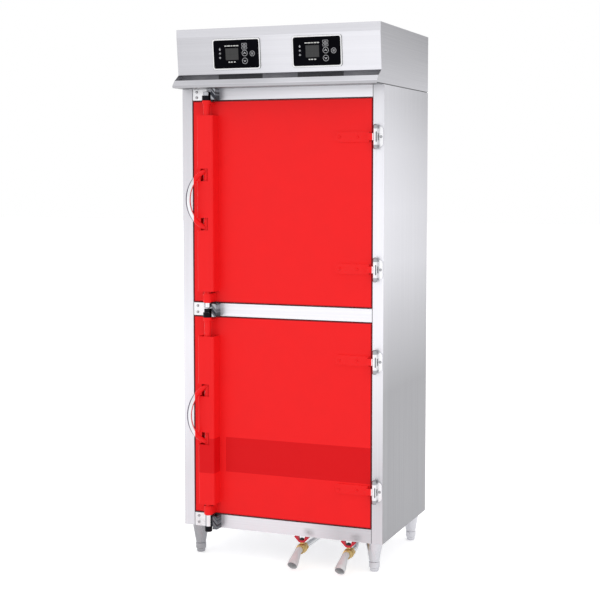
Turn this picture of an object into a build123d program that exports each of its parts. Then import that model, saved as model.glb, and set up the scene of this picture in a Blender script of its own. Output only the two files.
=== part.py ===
from build123d import *
import math
import os

# Rice steamer cabinet with two insulated doors, a control hood, adjustable feet and drain valves.
# X runs to the viewer's right, Y from front to back and Z up. Everything is drawn with the frame's
# front face at Y = 0, and at the end it is moved so that the origin is under the middle of the cabinet.

# Cabinet
cabinet_width = 700.0
cabinet_depth = 480.0
sheet = 1.0

# Heights from the floor up
foot_height = 100.0
bottom_rail_height = 45.0
door_height = 660.0
middle_rail_height = 42.0
top_rail_height = 37.0
hood_height = 190.0
door_gap = 3.0

# Front frame
stile_width = 36.0
frame_depth = 44.0
frame_wall = 1.5
rail_end_chamfer = 0.8

# Liners and insulation
landing_side = 9.0
landing_height = 12.0
flange_overlap = 6.0
back_wall = 32.0
base_thickness = 2.0

# Doors
door_thickness = 38.0
door_seam_depth = 20.0
gasket_width = 5.0
gasket_inset = 0.8
gasket_clearance = 0.3

# Lock rod, its cover and the bow handle
rod_inset = 63.0
rod_standoff = 30.0
rod_diameter = 22.0
rod_above_door = 29.0
rod_below_door = 16.0
lower_rod_tail = 24.0
rod_cap_diameter = 25.0
rod_cap_height = 19.0
rod_cap_cover = 3.0
rod_end_chamfer = 1.5
rod_running_fit = 0.05
cover_width = 58.0
cover_reach = 46.0
cover_sheet = 1.5
cover_bend_radius = 6.0
cover_below_top = (48.0, 62.0)
cover_above_bottom = 38.0
guide_diameter = 29.0
guide_height = 28.0
guide_rise = 16.0
guide_foot_width = 30.0
cam_reach = 27.0
cam_width = 9.0
cam_height = 11.0
cam_clearance = 1.0
cam_rest_angle = 65.0
handle_rest_angle = 40.0
handle_reach = 66.7
handle_half_span = 90.0
handle_bar = 16.0
handle_rise = 9.0
slot_clearance = 2.5

# Keepers on the rails
keeper_sheet = 3.0
keeper_lip_start = 17.0
keeper_web = 29.5
keeper_lip_gap = 0.9
keeper_tail = 62.0
keeper_plate = 1.5
keeper_screw = 49.0

# Hinges
hinge_inset = 122.0
hinge_side = 24.0
hinge_standoff = 14.0
knuckle_diameter = 15.0
pin_diameter = 8.0
pin_running_fit = 0.05
barrel_height = 62.0
middle_knuckle = 22.0
knuckle_clearance = 0.3
pin_cap_diameter = 14.0
pin_cap_height = 8.0
leaf_thickness = 4.0
leaf_margin = 2.0
strap_length = 116.0
strap_height = 33.0
strap_knee = 8.0

# Screws
screw_head = 9.0
screw_head_height = 2.6
screw_shank = 5.0
screw_slot_width = 1.1
screw_slot_depth = 0.8

# Hood
lip_height = 27.0
lid_front = 40.0
face_bottom_reach = 28.0
recess_depth = 3.0
face_height = 119.0
recess_gap = 19.0
ledge_reach = 73.0
ledge_shoulder = 57.0
ledge_lip = 7.0
floor_thickness = 3.0
seam_groove = 3.0
vent_slot_width = 6.0
vent_slot_height = 11.0
vent_slot_pitch = 13.0
vent_slot_count = 12
vent_pad_margin = 2.0
vent_pad = 4.0

# Control panels
panel_spacing = 277.0
panel_width = 167.0
panel_height = 98.0
panel_plate = 2.5
panel_overlap = 6.0
panel_corner = 8.0
panel_body_depth = 18.0
panel_above_middle = 3.0
display_left = 45.5
display_width = 46.0
display_height = 38.0
display_depth = 0.6
board_thickness = 1.6

# Water pans, steam plates and heating elements
pan_height = 82.0
pan_side_clearance = 1.0
pan_front_clearance = 3.0
pan_sheet = 1.0
steam_plate_sheet = 1.5
steam_plate_front_gap = 45.0
steam_slot_length = 54.0
steam_slot_width = 7.0
steam_slot_columns = 7
steam_slot_rows = 8
heater_tube = 10.0
heater_hole_clearance = 0.5
heater_length = 300.0
heater_bend_radius = 22.0
heater_spacing = 62.0
heater_count = 3
heater_height = 34.0
heater_side = 50.0
heater_flange_width = 190.0
heater_flange_height = 44.0
heater_flange = 6.0
terminal_diameter = 4.0
terminal_length = 14.0
rear_cover_margin = 22.0

# Tray racks
tray_count = 6
tray_pitch = 82.0
first_tray_above_pan = 34.0
rack_upright = 2.0
rack_upright_width = 22.0
rack_ledge_width = 13.0
rack_ledge_sheet = 1.5
rack_ledge_rise = 15.0
rack_end_margin = 16.0
rack_upright_inset = 60.0

# Feet
foot_inset = 40.0
foot_flange_diameter = 60.0
foot_flange = 4.0
foot_top_diameter = 55.0
foot_waist_diameter = 33.0
foot_ring_diameter = 35.0
foot_ring_top = 33.0
foot_ring_bottom = 12.0
foot_ring_chamfer = 2.0
foot_tip_diameter = 29.0
foot_stud_diameter = 14.0
foot_stud_length = 34.0

# Drain pipes and valves
valve_inset = 118.0
valve_spacing = 162.0
valve_behind_front = 12.0
valve_height = 57.0
valve_body_length = 44.0
valve_hex = 28.0
valve_waist = 34.0
valve_bore = 14.0
ball_diameter = 20.0
ball_clearance = 0.3
stem_diameter = 8.0
stem_running_fit = 0.05
stem_neck_diameter = 14.0
stem_neck_top = 20.0
lever_gap = 0.4
lever_hub_diameter = 17.0
lever_hub_height = 7.0
lever_half_span = 26.0
lever_rise = 21.0
lever_thickness = 12.0
lever_tip = 4.0
lever_notch = 25.0
pipe_diameter = 18.0
pipe_wall = 1.5
drain_stub_diameter = 14.0
pipe_bend_radius = 26.0
pipe_hole_clearance = 1.0
upper_drain_above_pan = 22.0
spout_collar = 12.0
spout_collar_diameter = 22.0
spout_length = 48.0
spout_hose_end = 14.0
spout_end_diameter = 34.0
spout_wall = 2.0
spout_droop = 34.0

# Water inlet and mains gland at the rear
inlet_inset = 150.0
inlet_height = 230.0
inlet_reach = 25.0
inlet_diameter = 20.9
inlet_bore = 15.0
inlet_nut_across = 30.0
inlet_nut = 8.0
feed_diameter = 10.0
feed_wall = 1.0
feed_above_pan = 62.0
gland_inset = 100.0
gland_height = 45.0
gland_hole = 20.0
gland_nut_across = 28.0
gland_nut = 6.0
gland_reach = 20.0
gland_bore = 12.0
gland_dome_round = 4.0

# Switchgear in the hood
contactor_width = 45.0
contactor_depth = 75.0
contactor_height = 85.0
contactor_spacing = 70.0
terminal_block_length = 110.0
terminal_block_depth = 26.0
terminal_block_height = 30.0
terminal_poles = 6

# Places worked out from the sizes above
half_width = cabinet_width / 2
door_half_width = half_width - stile_width - door_gap
opening_half_width = half_width - stile_width
liner_half_width = opening_half_width - landing_side
liner_back = cabinet_depth - back_wall
body_bottom = foot_height
lower_door_bottom = body_bottom + bottom_rail_height + door_gap
middle_rail_bottom = lower_door_bottom + door_height + door_gap
upper_door_bottom = middle_rail_bottom + middle_rail_height + door_gap
top_rail_bottom = upper_door_bottom + door_height + door_gap
body_top = top_rail_bottom + top_rail_height
hood_top = body_top + hood_height
hood_floor_top = body_top + floor_thickness
lip_bottom = hood_top - lip_height
face_bottom = lip_bottom - face_height
ledge_top = face_bottom - recess_gap
rod_x = -door_half_width + rod_inset
rod_radius = rod_diameter / 2
pin_x = half_width - hinge_side
inlet_x = -half_width + inlet_inset
gland_x = half_width - gland_inset
door_bottoms = {"lower": lower_door_bottom, "upper": upper_door_bottom}
cover_drop = {"upper": cover_below_top[0], "lower": cover_below_top[1]}
valve_x = {"left": half_width - valve_inset - valve_spacing, "right": half_width - valve_inset}
foot_places = [
    (side * (half_width - foot_inset), y)
    for side in (-1, 1)
    for y in (foot_inset, cabinet_depth - foot_inset)
]
handle_front = rod_standoff + handle_reach * math.cos(math.radians(handle_rest_angle)) + handle_bar / 2
front_plane_y = (handle_front - cabinet_depth - inlet_reach) / 2


# Helpers

def block(x0, x1, y0, y1, z0, z1):
    """A box between two opposite corners."""
    middle = Pos((x0 + x1) / 2, (y0 + y1) / 2, (z0 + z1) / 2)
    return middle * Box(x1 - x0, y1 - y0, z1 - z0)


def upright(x, y, z0, z1, diameter):
    """A vertical cylinder from z0 up to z1."""
    return Pos(x, y, (z0 + z1) / 2) * Cylinder(diameter / 2, z1 - z0)


def along_y(x, z, y0, y1, diameter):
    """A cylinder that lies along Y from y0 to y1."""
    return Pos(x, (y0 + y1) / 2, z) * Rot(90, 0, 0) * Cylinder(diameter / 2, y1 - y0)


def joined(pieces):
    """All pieces as one solid."""
    whole = pieces[0]
    for piece in pieces[1:]:
        whole = whole + piece
    return whole


def side_profile(points, x0, x1):
    """A closed outline of (y, z) points, drawn out from x0 to x1."""
    outline = make_face(Polyline(*[(y, z) for y, z in points], close=True))
    return extrude(Plane((x0, 0, 0), x_dir=(0, 1, 0), z_dir=(1, 0, 0)) * outline, x1 - x0)


def offset_points(points, thickness):
    """The line of (y, z) points moved sideways by a thickness, with mitred corners."""
    normals = []
    for (y0, z0), (y1, z1) in zip(points, points[1:]):
        length = math.hypot(y1 - y0, z1 - z0)
        normals.append(((z0 - z1) / length, (y1 - y0) / length))
    corners = [normals[0]]
    for (a0, b0), (a1, b1) in zip(normals, normals[1:]):
        scale = 1 + a0 * a1 + b0 * b1
        corners.append(((a0 + a1) / scale, (b0 + b1) / scale))
    corners.append(normals[-1])
    return [(y + a * thickness, z + b * thickness) for (y, z), (a, b) in zip(points, corners)]


def bent_sheet(points, thickness, x0, x1):
    """A folded sheet whose outer line in side view is the (y, z) points."""
    inner = offset_points(points, thickness)
    return side_profile(points + inner[::-1], x0, x1)


def screw(head_under, shank_length):
    """A round-headed screw along its plane's normal, with the head's underside on the plane."""
    head = Cylinder(screw_head / 2, screw_head_height, align=(Align.CENTER, Align.CENTER, Align.MIN))
    head = fillet(head.edges().group_by(Axis.Z)[-1], screw_head_height * 0.6)
    head -= Pos(0, 0, screw_head_height) * Box(screw_head * 0.6, screw_slot_width, 2 * screw_slot_depth)
    shank = Pos(0, 0, -shank_length / 2) * Cylinder(screw_shank / 2, shank_length)
    return head_under * (head + shank)


def facing_front(x, y, z):
    """A plane at a point whose normal points out of the cabinet's front."""
    return Plane((x, y, z), x_dir=(1, 0, 0), z_dir=(0, -1, 0))


def facing_rear(x, y, z):
    """A plane at a point whose normal points out of the cabinet's back."""
    return Plane((x, y, z), x_dir=(-1, 0, 0), z_dir=(0, 1, 0))


# Front frame and outer panels

def stile(side):
    """A square-tube post of the front frame."""
    outer = block(opening_half_width, half_width, 0, frame_depth, body_bottom, body_top)
    inner = block(
        opening_half_width + frame_wall, half_width - frame_wall,
        frame_wall, frame_depth - frame_wall,
        body_bottom - 1, body_top + 1,
    )
    post = outer - inner
    return post if side > 0 else mirror(post, Plane.YZ)


def rail(z0, z1):
    """A square-tube crosspiece between the stiles."""
    outer = block(-opening_half_width, opening_half_width, 0, frame_depth, z0, z1)
    front_ends = outer.edges().filter_by(Axis.Z).group_by(Axis.Y)[0]
    outer = chamfer(front_ends, rail_end_chamfer)
    inner = block(
        -opening_half_width - 1, opening_half_width + 1,
        frame_wall, frame_depth - frame_wall,
        z0 + frame_wall, z1 - frame_wall,
    )
    return outer - inner


def side_panel(side):
    """The flat side sheet from the stile to the back."""
    x0, x1 = sorted((side * half_width, side * (half_width - sheet)))
    return block(x0, x1, frame_depth, cabinet_depth, body_bottom, body_top)


def heater_z(bottom):
    """Height of a compartment's heating elements."""
    return pan_floor(bottom) + heater_height


def back_panel():
    """The rear sheet, with an opening behind each heating element and a hole for the inlet."""
    panel = block(
        -half_width + sheet, half_width - sheet, cabinet_depth - sheet, cabinet_depth,
        body_bottom, body_top,
    )
    for bottom in door_bottoms.values():
        panel -= heater_window(bottom, cabinet_depth - sheet - 1, cabinet_depth + 1)
    return panel - along_y(
        inlet_x, inlet_height, cabinet_depth - sheet - 1, cabinet_depth + 1, inlet_diameter
    )


def heater_window(bottom, y0, y1):
    """The space behind a heater flange that a rear cover closes."""
    half = heater_flange_width / 2 + rear_cover_margin / 2
    rise = heater_flange_height / 2 + rear_cover_margin / 2
    z = heater_z(bottom)
    return block(-heater_side - half, -heater_side + half, y0, y1, z - rise, z + rise)


def rear_cover(bottom):
    """The screwed plate over a heater's terminals."""
    half = heater_flange_width / 2 + rear_cover_margin
    rise = heater_flange_height / 2 + rear_cover_margin
    z = heater_z(bottom)
    plate = block(
        -heater_side - half, -heater_side + half, cabinet_depth, cabinet_depth + frame_wall,
        z - rise, z + rise,
    )
    for x, height in cover_screw_places(bottom):
        plate -= along_y(x, height, cabinet_depth - 1, cabinet_depth + frame_wall + 1, screw_shank)
    return plate


def cover_screw_places(bottom):
    """The four corners where a rear cover is screwed."""
    x = heater_flange_width / 2 + rear_cover_margin * 0.75
    rise = heater_flange_height / 2 + rear_cover_margin * 0.75
    z = heater_z(bottom)
    return [(-heater_side + side * x, z + level * rise) for side in (-1, 1) for level in (-1, 1)]


def base_plate():
    """The bottom sheet, bored for the lower pan's drain pipe."""
    plate = block(
        -half_width + sheet, half_width - sheet, frame_depth, cabinet_depth - sheet,
        body_bottom, body_bottom + base_thickness,
    )
    for hole in (lower_drain_space(), upper_drain_space()):
        plate -= hole
    return plate


# Insulated chambers

def chamber_bottom(bottom):
    """Height of a liner's inside floor."""
    return bottom - door_gap + landing_height


def chamber_top(bottom):
    """Height of a liner's inside ceiling."""
    return bottom + door_height + door_gap - landing_height


def pan_floor(bottom):
    """Height of the water pan's inside floor."""
    return chamber_bottom(bottom) + pan_sheet


def liner(bottom):
    """A five-sided stainless box with a flange round its mouth for the door seal."""
    z0 = chamber_bottom(bottom)
    z1 = chamber_top(bottom)
    w = liner_half_width
    outer = block(-w - sheet, w + sheet, frame_depth, liner_back + sheet, z0 - sheet, z1 + sheet)
    reach = opening_half_width + flange_overlap
    flange = block(
        -reach, reach, frame_depth, frame_depth + sheet,
        z0 - landing_height - flange_overlap, z1 + landing_height + flange_overlap,
    )
    inner = block(-w, w, frame_depth - 1, liner_back, z0, z1)
    shell = outer + flange - inner
    for hole in rear_wall_holes(bottom):
        shell -= hole
    if bottom == lower_door_bottom:
        shell -= lower_drain_tube(pipe_diameter)
    return shell


def heater_tube_places(bottom):
    """The (x, z) places of both legs of every heating element."""
    z = heater_z(bottom)
    first = -heater_side - heater_spacing * (heater_count - 1) / 2
    centres = [first + heater_spacing * i for i in range(heater_count)]
    return [(x + leg * heater_bend_radius, z) for x in centres for leg in (-1, 1)]


def rear_wall_holes(bottom):
    """Holes through a liner's or pan's rear wall, for the heaters, the feed and the drain."""
    y0 = liner_back - pan_front_clearance - pan_sheet - 1
    y1 = liner_back + sheet + 1
    clear = heater_tube + 2 * heater_hole_clearance
    holes = [along_y(x, z, y0, y1, clear) for x, z in heater_tube_places(bottom)]
    holes.append(along_y(inlet_x, pan_floor(bottom) + feed_above_pan, y0, y1, feed_diameter))
    if bottom == upper_door_bottom:
        holes.append(along_y(valve_x["left"], upper_drain_z(), y0, y1, drain_stub_diameter))
    return holes


def water_pan(bottom):
    """The open tank at a chamber's foot that the elements boil: a floor and four welded walls."""
    w = liner_half_width - pan_side_clearance
    y0 = frame_depth + pan_front_clearance
    y1 = liner_back
    z0 = chamber_bottom(bottom) + pan_sheet
    z1 = chamber_bottom(bottom) + pan_height
    floor = block(-w, w, y0, y1, z0 - pan_sheet, z0)
    front = block(-w, w, y0, y0 + pan_sheet, z0, z1)
    rear = block(-w, w, y1 - pan_sheet, y1, z0, z1)
    left = block(-w, -w + pan_sheet, y0 + pan_sheet, y1 - pan_sheet, z0, z1)
    right = block(w - pan_sheet, w, y0 + pan_sheet, y1 - pan_sheet, z0, z1)
    for hole in rear_wall_holes(bottom):
        rear -= hole
    if bottom == lower_door_bottom:
        floor -= lower_drain_tube(pipe_diameter)
    return [floor, front, rear, left, right]


def steam_plate(bottom):
    """The slotted plate on a pan's rim, short at the front so that the water can be seen and filled."""
    w = liner_half_width - pan_side_clearance
    y0 = frame_depth + pan_front_clearance + steam_plate_front_gap
    z0 = chamber_bottom(bottom) + pan_height
    plate = block(-w, w, y0, liner_back - pan_side_clearance, z0, z0 + steam_plate_sheet)
    x_pitch = 2 * w / (steam_slot_columns + 1)
    y_pitch = (liner_back - y0) / (steam_slot_rows + 1)
    slots = [
        block(
            -w + x_pitch * (column + 1) - steam_slot_length / 2,
            -w + x_pitch * (column + 1) + steam_slot_length / 2,
            y0 + y_pitch * (row + 1) - steam_slot_width / 2,
            y0 + y_pitch * (row + 1) + steam_slot_width / 2,
            z0 - 1, z0 + steam_plate_sheet + 1,
        )
        for column in range(steam_slot_columns)
        for row in range(steam_slot_rows)
    ]
    return plate - slots


def heating_element(bottom):
    """Three U-shaped tubes on one flange, with two terminals each."""
    y_flange = liner_back + sheet
    y_bend = y_flange - heater_length
    z = heater_z(bottom)
    pieces = [block(
        -heater_side - heater_flange_width / 2, -heater_side + heater_flange_width / 2,
        y_flange, y_flange + heater_flange,
        z - heater_flange_height / 2, z + heater_flange_height / 2,
    )]
    places = heater_tube_places(bottom)
    for (x0, _), (x1, _) in zip(places[::2], places[1::2]):
        bow = Pos((x0 + x1) / 2, y_bend, z) * Torus((x1 - x0) / 2, heater_tube / 2)
        pieces.append(bow - block(
            x0 - heater_tube, x1 + heater_tube, y_bend, y_flange, z - heater_tube, z + heater_tube
        ))
    for x, height in places:
        pieces.append(along_y(x, height, y_bend, y_flange, heater_tube))
        y_end = y_flange + heater_flange
        pieces.append(along_y(x, height, y_end, y_end + terminal_length, terminal_diameter))
    return joined(pieces)


def tray_rack(bottom, side):
    """Two uprights on the liner's wall and the welded ledges that carry the trays' rims."""
    wall = liner_half_width
    z0 = chamber_bottom(bottom) + pan_height + steam_plate_sheet
    z1 = z0 + first_tray_above_pan + tray_pitch * (tray_count - 1) + rack_ledge_rise
    y0 = frame_depth + rack_end_margin
    y1 = liner_back - rack_end_margin
    face = wall - rack_upright
    pieces = [
        block(face, wall, y - rack_upright_width / 2, y + rack_upright_width / 2, z0, z1)
        for y in (y0 + rack_upright_inset, y1 - rack_upright_inset)
    ]
    for i in range(tray_count):
        z = z0 + first_tray_above_pan + tray_pitch * i
        low = z - rack_ledge_sheet
        back = block(face - rack_ledge_sheet, face, y0, y1, low, z + rack_ledge_rise)
        pieces.append(back + block(face - rack_ledge_width, face, y0, y1, low, z))
    return pieces if side > 0 else [mirror(piece, Plane.YZ) for piece in pieces]


def wall_insulation():
    """Felt slabs that fill the space between the liners and the outer panels."""
    x_in = liner_half_width + sheet
    x_out = half_width - sheet
    y0 = frame_depth + sheet
    y1 = cabinet_depth - sheet
    y_mid = liner_back + sheet
    floor = body_bottom + base_thickness
    lower_floor = chamber_bottom(lower_door_bottom) - sheet
    lower_roof = chamber_top(lower_door_bottom) + sheet
    upper_floor = chamber_bottom(upper_door_bottom) - sheet
    upper_roof = chamber_top(upper_door_bottom) + sheet
    slabs = [
        block(-x_out, -x_in, y0, y_mid, floor, body_top),
        block(x_in, x_out, y0, y_mid, floor, body_top),
        block(-x_in, x_in, y0, y_mid, floor, lower_floor),
        block(-x_in, x_in, y0, y_mid, lower_roof, upper_floor),
        block(-x_in, x_in, y0, y_mid, upper_roof, body_top),
    ]
    back = block(-x_out, x_out, y_mid, y1, floor, body_top)
    pocket = max(inlet_diameter, feed_diameter) / 2 + pipe_hole_clearance
    back -= block(
        inlet_x - pocket, inlet_x + pocket, y_mid - 1, y1 + 1,
        inlet_height - inlet_diameter, pan_floor(upper_door_bottom) + feed_above_pan + feed_diameter,
    )
    for bottom in door_bottoms.values():
        back -= heater_window(bottom, y_mid - 1, y1 + 1)
    slabs.append(back)
    return [slab - lower_drain_space() - upper_drain_space() for slab in slabs]


# Hood

def hood_lid():
    """The top sheet, folded down over the front and the rear."""
    line = [
        (-lid_front - sheet, lip_bottom), (-lid_front - sheet, hood_top),
        (cabinet_depth, hood_top), (cabinet_depth, hood_top - lip_height),
    ]
    lid = bent_sheet(line, -sheet, -half_width, half_width)
    front_corner = lid.edges().filter_by(Axis.X).sort_by(lambda e: e.center().Z - e.center().Y)[-1]
    return fillet(front_corner, sheet * 0.8)


def face_line():
    """The front sheet's outer line from the lid down to the recess."""
    return [
        (-lid_front, hood_top - sheet), (-lid_front, lip_bottom),
        (-face_bottom_reach, face_bottom), (-recess_depth, face_bottom),
    ]


def face_plane(x):
    """The plane on the leaning face at a control panel's centre."""
    middle = (lip_bottom + face_bottom) / 2
    rise = panel_above_middle
    lean = (lid_front - face_bottom_reach) / face_height
    y = -(lid_front + face_bottom_reach) / 2 - rise * lean
    return Plane((x, y, middle + rise), x_dir=(1, 0, 0), z_dir=(0, -1, -lean))


def panel_places():
    """The X of both control panels."""
    return {"left": -panel_spacing / 2, "right": panel_spacing / 2}


def hood_front():
    """The leaning face with a cut-out for each control panel."""
    width = half_width - sheet
    face = bent_sheet(face_line(), sheet, -width, width)
    for x in panel_places().values():
        face -= face_plane(x) * Box(
            panel_width - 2 * panel_overlap, panel_height - 2 * panel_overlap, 6 * sheet
        )
    return face


def hood_cheek(side):
    """The hood's side plate, whose front edge follows the face, the recess and the visor."""
    low = body_top + floor_thickness
    points = [
        (cabinet_depth - sheet, low), (cabinet_depth - sheet, hood_top - sheet),
        (-lid_front, hood_top - sheet), (-lid_front, lip_bottom),
        (-face_bottom_reach, face_bottom), (-ledge_shoulder, ledge_top),
        (-ledge_reach, body_top + ledge_lip), (-ledge_reach, low),
    ]
    x0, x1 = sorted((side * half_width, side * (half_width - sheet)))
    return side_profile(points, x0, x1)


def hood_ledge():
    """The visor that turns the steam away from the controls."""
    line = [
        (0, ledge_top), (-ledge_shoulder, ledge_top),
        (-ledge_reach, body_top + ledge_lip), (-ledge_reach, body_top),
    ]
    width = half_width - sheet
    return bent_sheet(line, sheet, -width, width)


def hood_floor():
    """The plate between body and hood, set in so that a dark groove shows."""
    return block(
        -half_width + seam_groove, half_width - seam_groove,
        -ledge_reach + sheet, cabinet_depth - sheet, body_top, hood_floor_top,
    )


def hood_back():
    """The hood's rear sheet, bored for the mains gland and louvred."""
    width = half_width - sheet
    y0 = cabinet_depth - 2 * sheet
    y1 = cabinet_depth - sheet
    plate = block(-width, width, y0, y1, hood_floor_top, hood_top - sheet)
    plate -= along_y(gland_x, body_top + gland_height, y0 - 1, y1 + 1, gland_hole)
    for i in range(vent_slot_count):
        x = (i - (vent_slot_count - 1) / 2) * vent_slot_pitch
        plate -= block(
            x - vent_slot_width / 2, x + vent_slot_width / 2, y0 - 1, y1 + 1,
            body_top + gland_height, body_top + gland_height + 4 * vent_slot_height,
        )
    return plate


def vent_grille():
    """The dark strip at the back of the recess, slotted under each control panel."""
    width = half_width - sheet
    y0 = -recess_depth
    y1 = y0 + sheet
    strip = block(-width, width, y0, y1, ledge_top, face_bottom + recess_gap / 2)
    z = (ledge_top + face_bottom) / 2
    for centre in panel_places().values():
        for i in range(vent_slot_count):
            x = centre + (i - (vent_slot_count - 1) / 2) * vent_slot_pitch
            strip -= block(
                x - vent_slot_width / 2, x + vent_slot_width / 2, y0 - 1, y1 + 1,
                z - vent_slot_height / 2, z + vent_slot_height / 2,
            )
    return strip


def vent_filter(x):
    """The dark felt pad behind one panel's row of vent slots."""
    y0 = -recess_depth + sheet
    z = (ledge_top + face_bottom) / 2
    half = vent_slot_count * vent_slot_pitch / 2 + vent_pad_margin
    rise = vent_slot_height / 2 + vent_pad_margin
    return block(x - half, x + half, y0, y0 + vent_pad, z - rise, z + rise)


def control_panel(x):
    """A glass plate with rounded corners and a sunk display, on a body behind the face."""
    up = (Align.CENTER, Align.CENTER, Align.MIN)
    down = (Align.CENTER, Align.CENTER, Align.MAX)
    plate = Box(panel_width, panel_height, panel_plate, align=up)
    plate = fillet(plate.edges().filter_by(Axis.Z), panel_corner)
    inset = 2 * panel_overlap + 1
    body = Box(panel_width - inset, panel_height - inset, panel_body_depth, align=down)
    x_display = -panel_width / 2 + display_left + display_width / 2
    display = Pos(x_display, 0, panel_plate) * Box(
        display_width, display_height, display_depth, align=down
    )
    return face_plane(x) * (plate + body - display)


def control_board(x):
    """The circuit board on the back of a control panel."""
    inset = 2 * panel_overlap + 1
    board = Box(panel_width - inset, panel_height - inset, board_thickness)
    return face_plane(x) * Pos(0, 0, -panel_body_depth - board_thickness / 2) * board


def contactor(x):
    """A contactor on the hood's floor, with a narrower arc chamber on top."""
    y = cabinet_depth / 2
    base_height = contactor_height * 0.6
    step = contactor_depth * 0.14
    x0 = x - contactor_width / 2
    base = block(
        x0, x0 + contactor_width, y - contactor_depth / 2, y + contactor_depth / 2,
        hood_floor_top, hood_floor_top + base_height,
    )
    top = block(
        x0, x0 + contactor_width, y - contactor_depth / 2 + step, y + contactor_depth / 2 - step,
        hood_floor_top + base_height, hood_floor_top + contactor_height,
    )
    return base + top


def terminal_block():
    """The mains terminal strip on the hood's floor, near the gland."""
    x0 = gland_x - terminal_block_length
    y0 = cabinet_depth * 0.7
    strip = block(
        x0, gland_x, y0, y0 + terminal_block_depth,
        hood_floor_top, hood_floor_top + terminal_block_height,
    )
    pitch = terminal_block_length / terminal_poles
    for i in range(terminal_poles):
        strip -= upright(
            x0 + pitch * (i + 0.5), y0 + terminal_block_depth / 2,
            hood_floor_top + terminal_block_height / 2, hood_floor_top + terminal_block_height + 1,
            pitch * 0.45,
        )
    return strip


# Doors

def door_skin(bottom):
    """The outer pan: front sheet with edges folded back."""
    w = door_half_width
    top = bottom + door_height
    outer = block(-w, w, 0, door_seam_depth, bottom, top)
    outer = fillet(outer.edges().group_by(Axis.Y)[0], sheet * 0.9)
    inner = block(-w + sheet, w - sheet, sheet, door_seam_depth + 1, bottom + sheet, top - sheet)
    return outer - inner


def door_pan(bottom):
    """The inner pan, which meets the outer one along the seam round the door's edge."""
    w = door_half_width
    top = bottom + door_height
    outer = block(-w, w, door_seam_depth, door_thickness, bottom, top)
    inner = block(
        -w + sheet, w - sheet, door_seam_depth - 1, door_thickness - sheet, bottom + sheet, top - sheet
    )
    return outer - inner


def door_insulation(bottom):
    """The felt core between the two pans."""
    w = door_half_width - sheet
    return block(
        -w, w, sheet, door_thickness - sheet, bottom + sheet, bottom + door_height - sheet
    )


def door_gasket(bottom):
    """The seal ring on the door's back, which meets the liner's flange."""
    w = door_half_width - gasket_inset
    low = bottom + gasket_inset
    high = bottom + door_height - gasket_inset
    y0 = door_thickness
    y1 = frame_depth - gasket_clearance
    ring = block(-w, w, y0, y1, low, high)
    g = gasket_width
    return ring - block(-w + g, w - g, y0 - 1, y1 + 1, low + g, high - g)


def lock_cover(which):
    """The folded channel over the lock rod, slotted where the handle swings."""
    bottom = door_bottoms[which]
    z0 = bottom + cover_above_bottom
    z1 = bottom + door_height - cover_drop[which]
    half = cover_width / 2
    outer = block(rod_x - half, rod_x + half, -cover_reach, 0, z0, z1)
    bend = min(cover_bend_radius, half - cover_sheet)
    outer = fillet(outer.edges().filter_by(Axis.Z).group_by(Axis.Y)[0], bend)
    inside = half - cover_sheet
    front = -cover_reach + cover_sheet
    inner = block(rod_x - inside, rod_x + inside, front, 1, z0 - 1, z1 + 1)
    inner_bend = max(bend - cover_sheet, 0.5)
    inner = fillet(inner.edges().filter_by(Axis.Z).group_by(Axis.Y)[0], inner_bend)
    channel = outer - inner
    middle = handle_z(bottom)
    reach_right = handle_bar / 2 + slot_clearance
    reach_back = -rod_standoff + handle_bar / 2 + slot_clearance
    low, high = handle_slot_span()
    for side in (-1, 1):
        near, far = sorted((side * low, side * high))
        channel -= block(
            rod_x - half - 1, rod_x + reach_right, -cover_reach - 1, reach_back,
            middle + near, middle + far,
        )
    return channel


def handle_z(bottom):
    """Height of a bow handle's middle."""
    return bottom + door_height / 2 + handle_rise


def bow_height(reach):
    """How far above the handle's middle its centre line is at a distance from the rod's axis."""
    sagitta = handle_reach - rod_radius
    radius = (handle_half_span**2 + sagitta**2) / (2 * sagitta)
    return math.sqrt(radius**2 - (radius - handle_reach + reach) ** 2)


def handle_slot_span():
    """The stretch of height, from the handle's middle, that the bar needs to pass the cover."""
    low = bow_height(cover_width / 2) - handle_bar - slot_clearance
    high = handle_half_span + handle_bar / 2 + slot_clearance
    return low, high


def rod_guides(bottom):
    """The two nylon bearings that hold the rod on the door."""
    top = bottom + door_height
    spans = [
        (top + guide_rise - guide_height, top + guide_rise, top - 2 * door_gap),
        (bottom + door_gap, bottom + door_gap + guide_height, bottom + door_gap + guide_height),
    ]
    guides = []
    for z0, z1, foot_top in spans:
        ring = upright(rod_x, -rod_standoff, z0, z1, guide_diameter)
        half = guide_foot_width / 2
        foot = block(rod_x - half, rod_x + half, -rod_standoff, 0, z0, foot_top)
        bore = upright(rod_x, -rod_standoff, z0 - 1, z1 + 1, rod_diameter + 2 * rod_running_fit)
        guides.append(ring + foot - bore)
    return guides


def cam(z0):
    """A cam finger welded to the rod, pointing back and to the right at rest."""
    finger = block(0, cam_reach, -cam_width / 2, cam_width / 2, z0, z0 + cam_height)
    tip = finger.edges().filter_by(Axis.Z).sort_by(Axis.X)[-2:]
    finger = fillet(tip, cam_width * 0.3)
    finger -= upright(0, 0, z0 - 1, z0 + cam_height + 1, rod_diameter)
    return Pos(rod_x, -rod_standoff, 0) * Rot(0, 0, cam_rest_angle) * finger


def lock_rod(which):
    """The long rod and the cam at either end of it; the lower door's rod goes on down to a nylon cap."""
    bottom = door_bottoms[which]
    top = bottom + door_height
    tail = {"upper": 0, "lower": lower_rod_tail}[which]
    end = bottom - rod_below_door - tail
    rod = upright(rod_x, -rod_standoff, end, top + rod_above_door, rod_diameter)
    rod = chamfer(rod.edges().filter_by(GeomType.CIRCLE), rod_end_chamfer)
    upper_cam = cam(top + guide_rise + cam_clearance)
    lower_cam = cam(bottom - door_gap - cam_height)
    pieces = [rod, upper_cam, lower_cam]
    if tail:
        pieces.append(rod_cap(end))
    return pieces


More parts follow.
